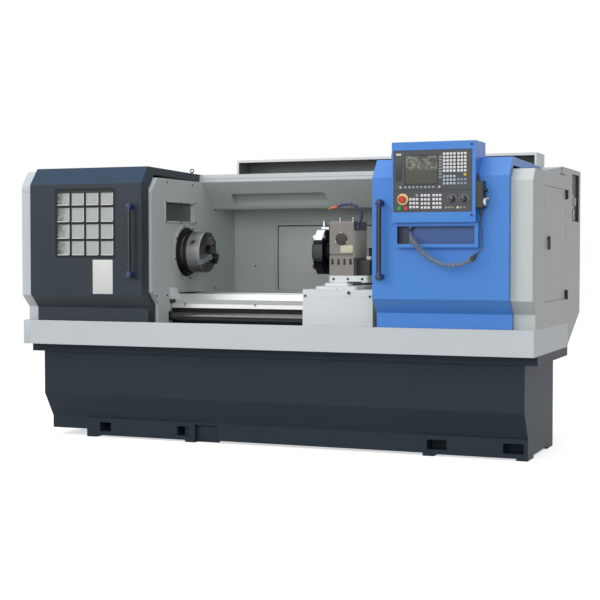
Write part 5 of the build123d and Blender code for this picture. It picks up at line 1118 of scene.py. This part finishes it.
PANES = 4
PANE = 84 * MM
PANE_MARGIN = 10 * MM
PANE_PITCH = (pane_high.x - pane_low.x - 2 * PANE_MARGIN - PANE) / (PANES - 1)
REVEAL = 5 * MM
reveal_front = pane_low.y - 1.5 * MM
reveal_back = reveal_front + 2 * MM
pane_left, pane_top = pane_low.x + PANE_MARGIN, pane_high.z - PANE_MARGIN
pane_right, pane_bottom = pane_left + PANE, pane_top - PANE
upright = block(
    "pane_reveals_painted_light", (pane_right - REVEAL, reveal_front, pane_bottom), (pane_right, reveal_back, pane_top)
)
sill = block("sill", (pane_left, reveal_front, pane_bottom), (pane_right, reveal_back, pane_bottom + REVEAL))
reveals = join([upright, sill])
bevel_edges(reveals, 0.5 * MM, 1)
repeat_grid(reveals, PANES, PANES, (PANE_PITCH, PANE_PITCH))
settle(reveals, "left_door", plate_white)
lifting_eye("door_lifting_eye", mm(-745, 70, 1617), 11, "left_door", *BLACK_SCREW)

# Left end: the cover's end cap, which rises to the door's roof line, and the tray's square corner

cut_block(
    "cover_end_cap", (cover_low.x + 0.8 * MM, cover_low.y - 1 * MM, 1.485), (door_low.x - 4 * MM, 0.130, 1.616),
    [
        ((0, -0.601, 1.526), (0, -0.794, 0.608)), ((0, -0.532, 1.616), (0, 0.0106, 1)),
        ((0, -0.560, 1.486), (0, 0.08, -1)),
    ],
    "machine", *GREY_SHEET,
)
cut_block(
    "tray_corner", tray_low, (tray_low.x + TRAY_CORNER, tray_low.y + TRAY_CORNER, tray_high.z),
    [(tray_low + Vector((TRAY_CORNER, 0, 0)), (1, 1, 0))], "machine", *GREY_SHEET,
)

# Rear and left end: bolted cover plates and the vent of the motor bay

for number, (left, right) in enumerate(((-1.46, -0.98), (-0.90, -0.20), (-0.12, 0.58)), 1):
    bolted_cover(
        f"rear_cover_{number}", (left, wall_back - 1 * MM, 1.02), (right, wall_back + 2 * MM, 1.50), BACK,
        "machine", *INNER_SHEET,
    )
bolted_cover(
    "belt_cover", (cover_low.x - 2 * MM, -0.34, 0.84), (cover_low.x + 1 * MM, 0.34, 1.34), LEFT, "machine",
    *GREY_SHEET,
)
key_grid(
    "motor_bay_vent", (-1.22, wall_back + 4 * MM, 1.40), (0.30, 5 * MM, 7 * MM), (1, 22 * MM), 1, 9, "machine",
    *RUBBER,
)

# Floor, background, light and camera


def seen_directly(tree):
    """1 for camera, glossy and transmission rays, which meet the white background itself."""
    path = add_node(tree, "LightPath")
    mirrored = add_node(
        tree, "Math", {0: path.outputs["Is Camera Ray"], 1: path.outputs["Is Glossy Ray"]}, operation="MAXIMUM"
    )
    return add_node(tree, "Math", {0: mirrored, 1: path.outputs["Is Transmission Ray"]}, operation="MAXIMUM")


FLOOR_SIZE = 80
deselect()
bpy.ops.mesh.primitive_plane_add(size=FLOOR_SIZE, location=(0, 0, 0))
floor = start("studio_floor")
floor_paper, tree, place = new_material("pale studio paper")
fibre = add_node(tree, "TexNoise", {"Vector": place}, in_Scale=3.0, in_Detail=3.0)
tint = add_node(
    tree, "Mix", {"Factor": fibre}, data_type="RGBA",
    in_6=linear("#f4f4f3"), in_7=linear("#fafafa"),
)
paper = add_node(tree, "BsdfPrincipled", {"Base Color": tint}, in_Roughness=0.9)
glow = add_node(tree, "Emission", in_Color=(1, 1, 1, 1), in_Strength=0.62)
lifted = add_node(tree, "AddShader", {0: paper, 1: glow})
bounce = add_node(tree, "BsdfDiffuse", in_Color=linear("#a8a8a6"))
chosen = add_node(tree, "MixShader", {0: seen_directly(tree), 1: bounce, 2: lifted})
add_node(tree, "OutputMaterial", {"Surface": chosen})
floor.data.materials.append(floor_paper)

scene = bpy.context.scene
scene.view_settings.view_transform = "Standard"
world = bpy.data.worlds.new("studio")
scene.world = world
world.use_nodes = True
tree = world.node_tree
tree.nodes.clear()
level = add_node(tree, "MapRange", {"Value": seen_directly(tree)}, in_To_Min=0.38, in_To_Max=1.0)
sky = add_node(tree, "Background", {"Strength": level}, in_Color=(1, 1, 1, 1))
add_node(tree, "OutputWorld", {"Surface": sky})


def softbox(name, place, target, size, power):
    """A large square lamp turned to a point."""
    lamp = bpy.data.lights.new(name, "AREA")
    lamp.shape = "SQUARE"
    lamp.size = size
    lamp.energy = power
    holder = bpy.data.objects.new(name, lamp)
    scene.collection.objects.link(holder)
    holder.location = place
    holder.rotation_euler = (Vector(target) - Vector(place)).to_track_quat("-Z", "Y").to_euler()
    return holder


softbox("key_softbox", (-4.0, -7.0, 4.6), (0, 0, 0.9), 5.0, 230)
softbox("front_softbox", (2.8, -8.6, 3.0), (0, 0, 0.9), 4.0, 207)
softbox("fill_softbox", (6.5, -5.0, 4.5), (0.5, 0, 1.2), 4.0, 26)
softbox("top_softbox", (0.0, -1.0, 6.0), (0, 0, 1.0), 5.0, 104)

camera_data = bpy.data.cameras.new("photo_camera")
camera_data.sensor_width = SENSOR
camera_data.lens = FOCAL_PIXELS / IMAGE_SIZE * SENSOR
camera = bpy.data.objects.new("photo_camera", camera_data)
scene.collection.objects.link(camera)
camera.location = CAMERA_PLACE
camera.rotation_euler = (math.radians(90 - CAMERA_PITCH), 0, math.radians(CAMERA_YAW))
scene.camera = camera
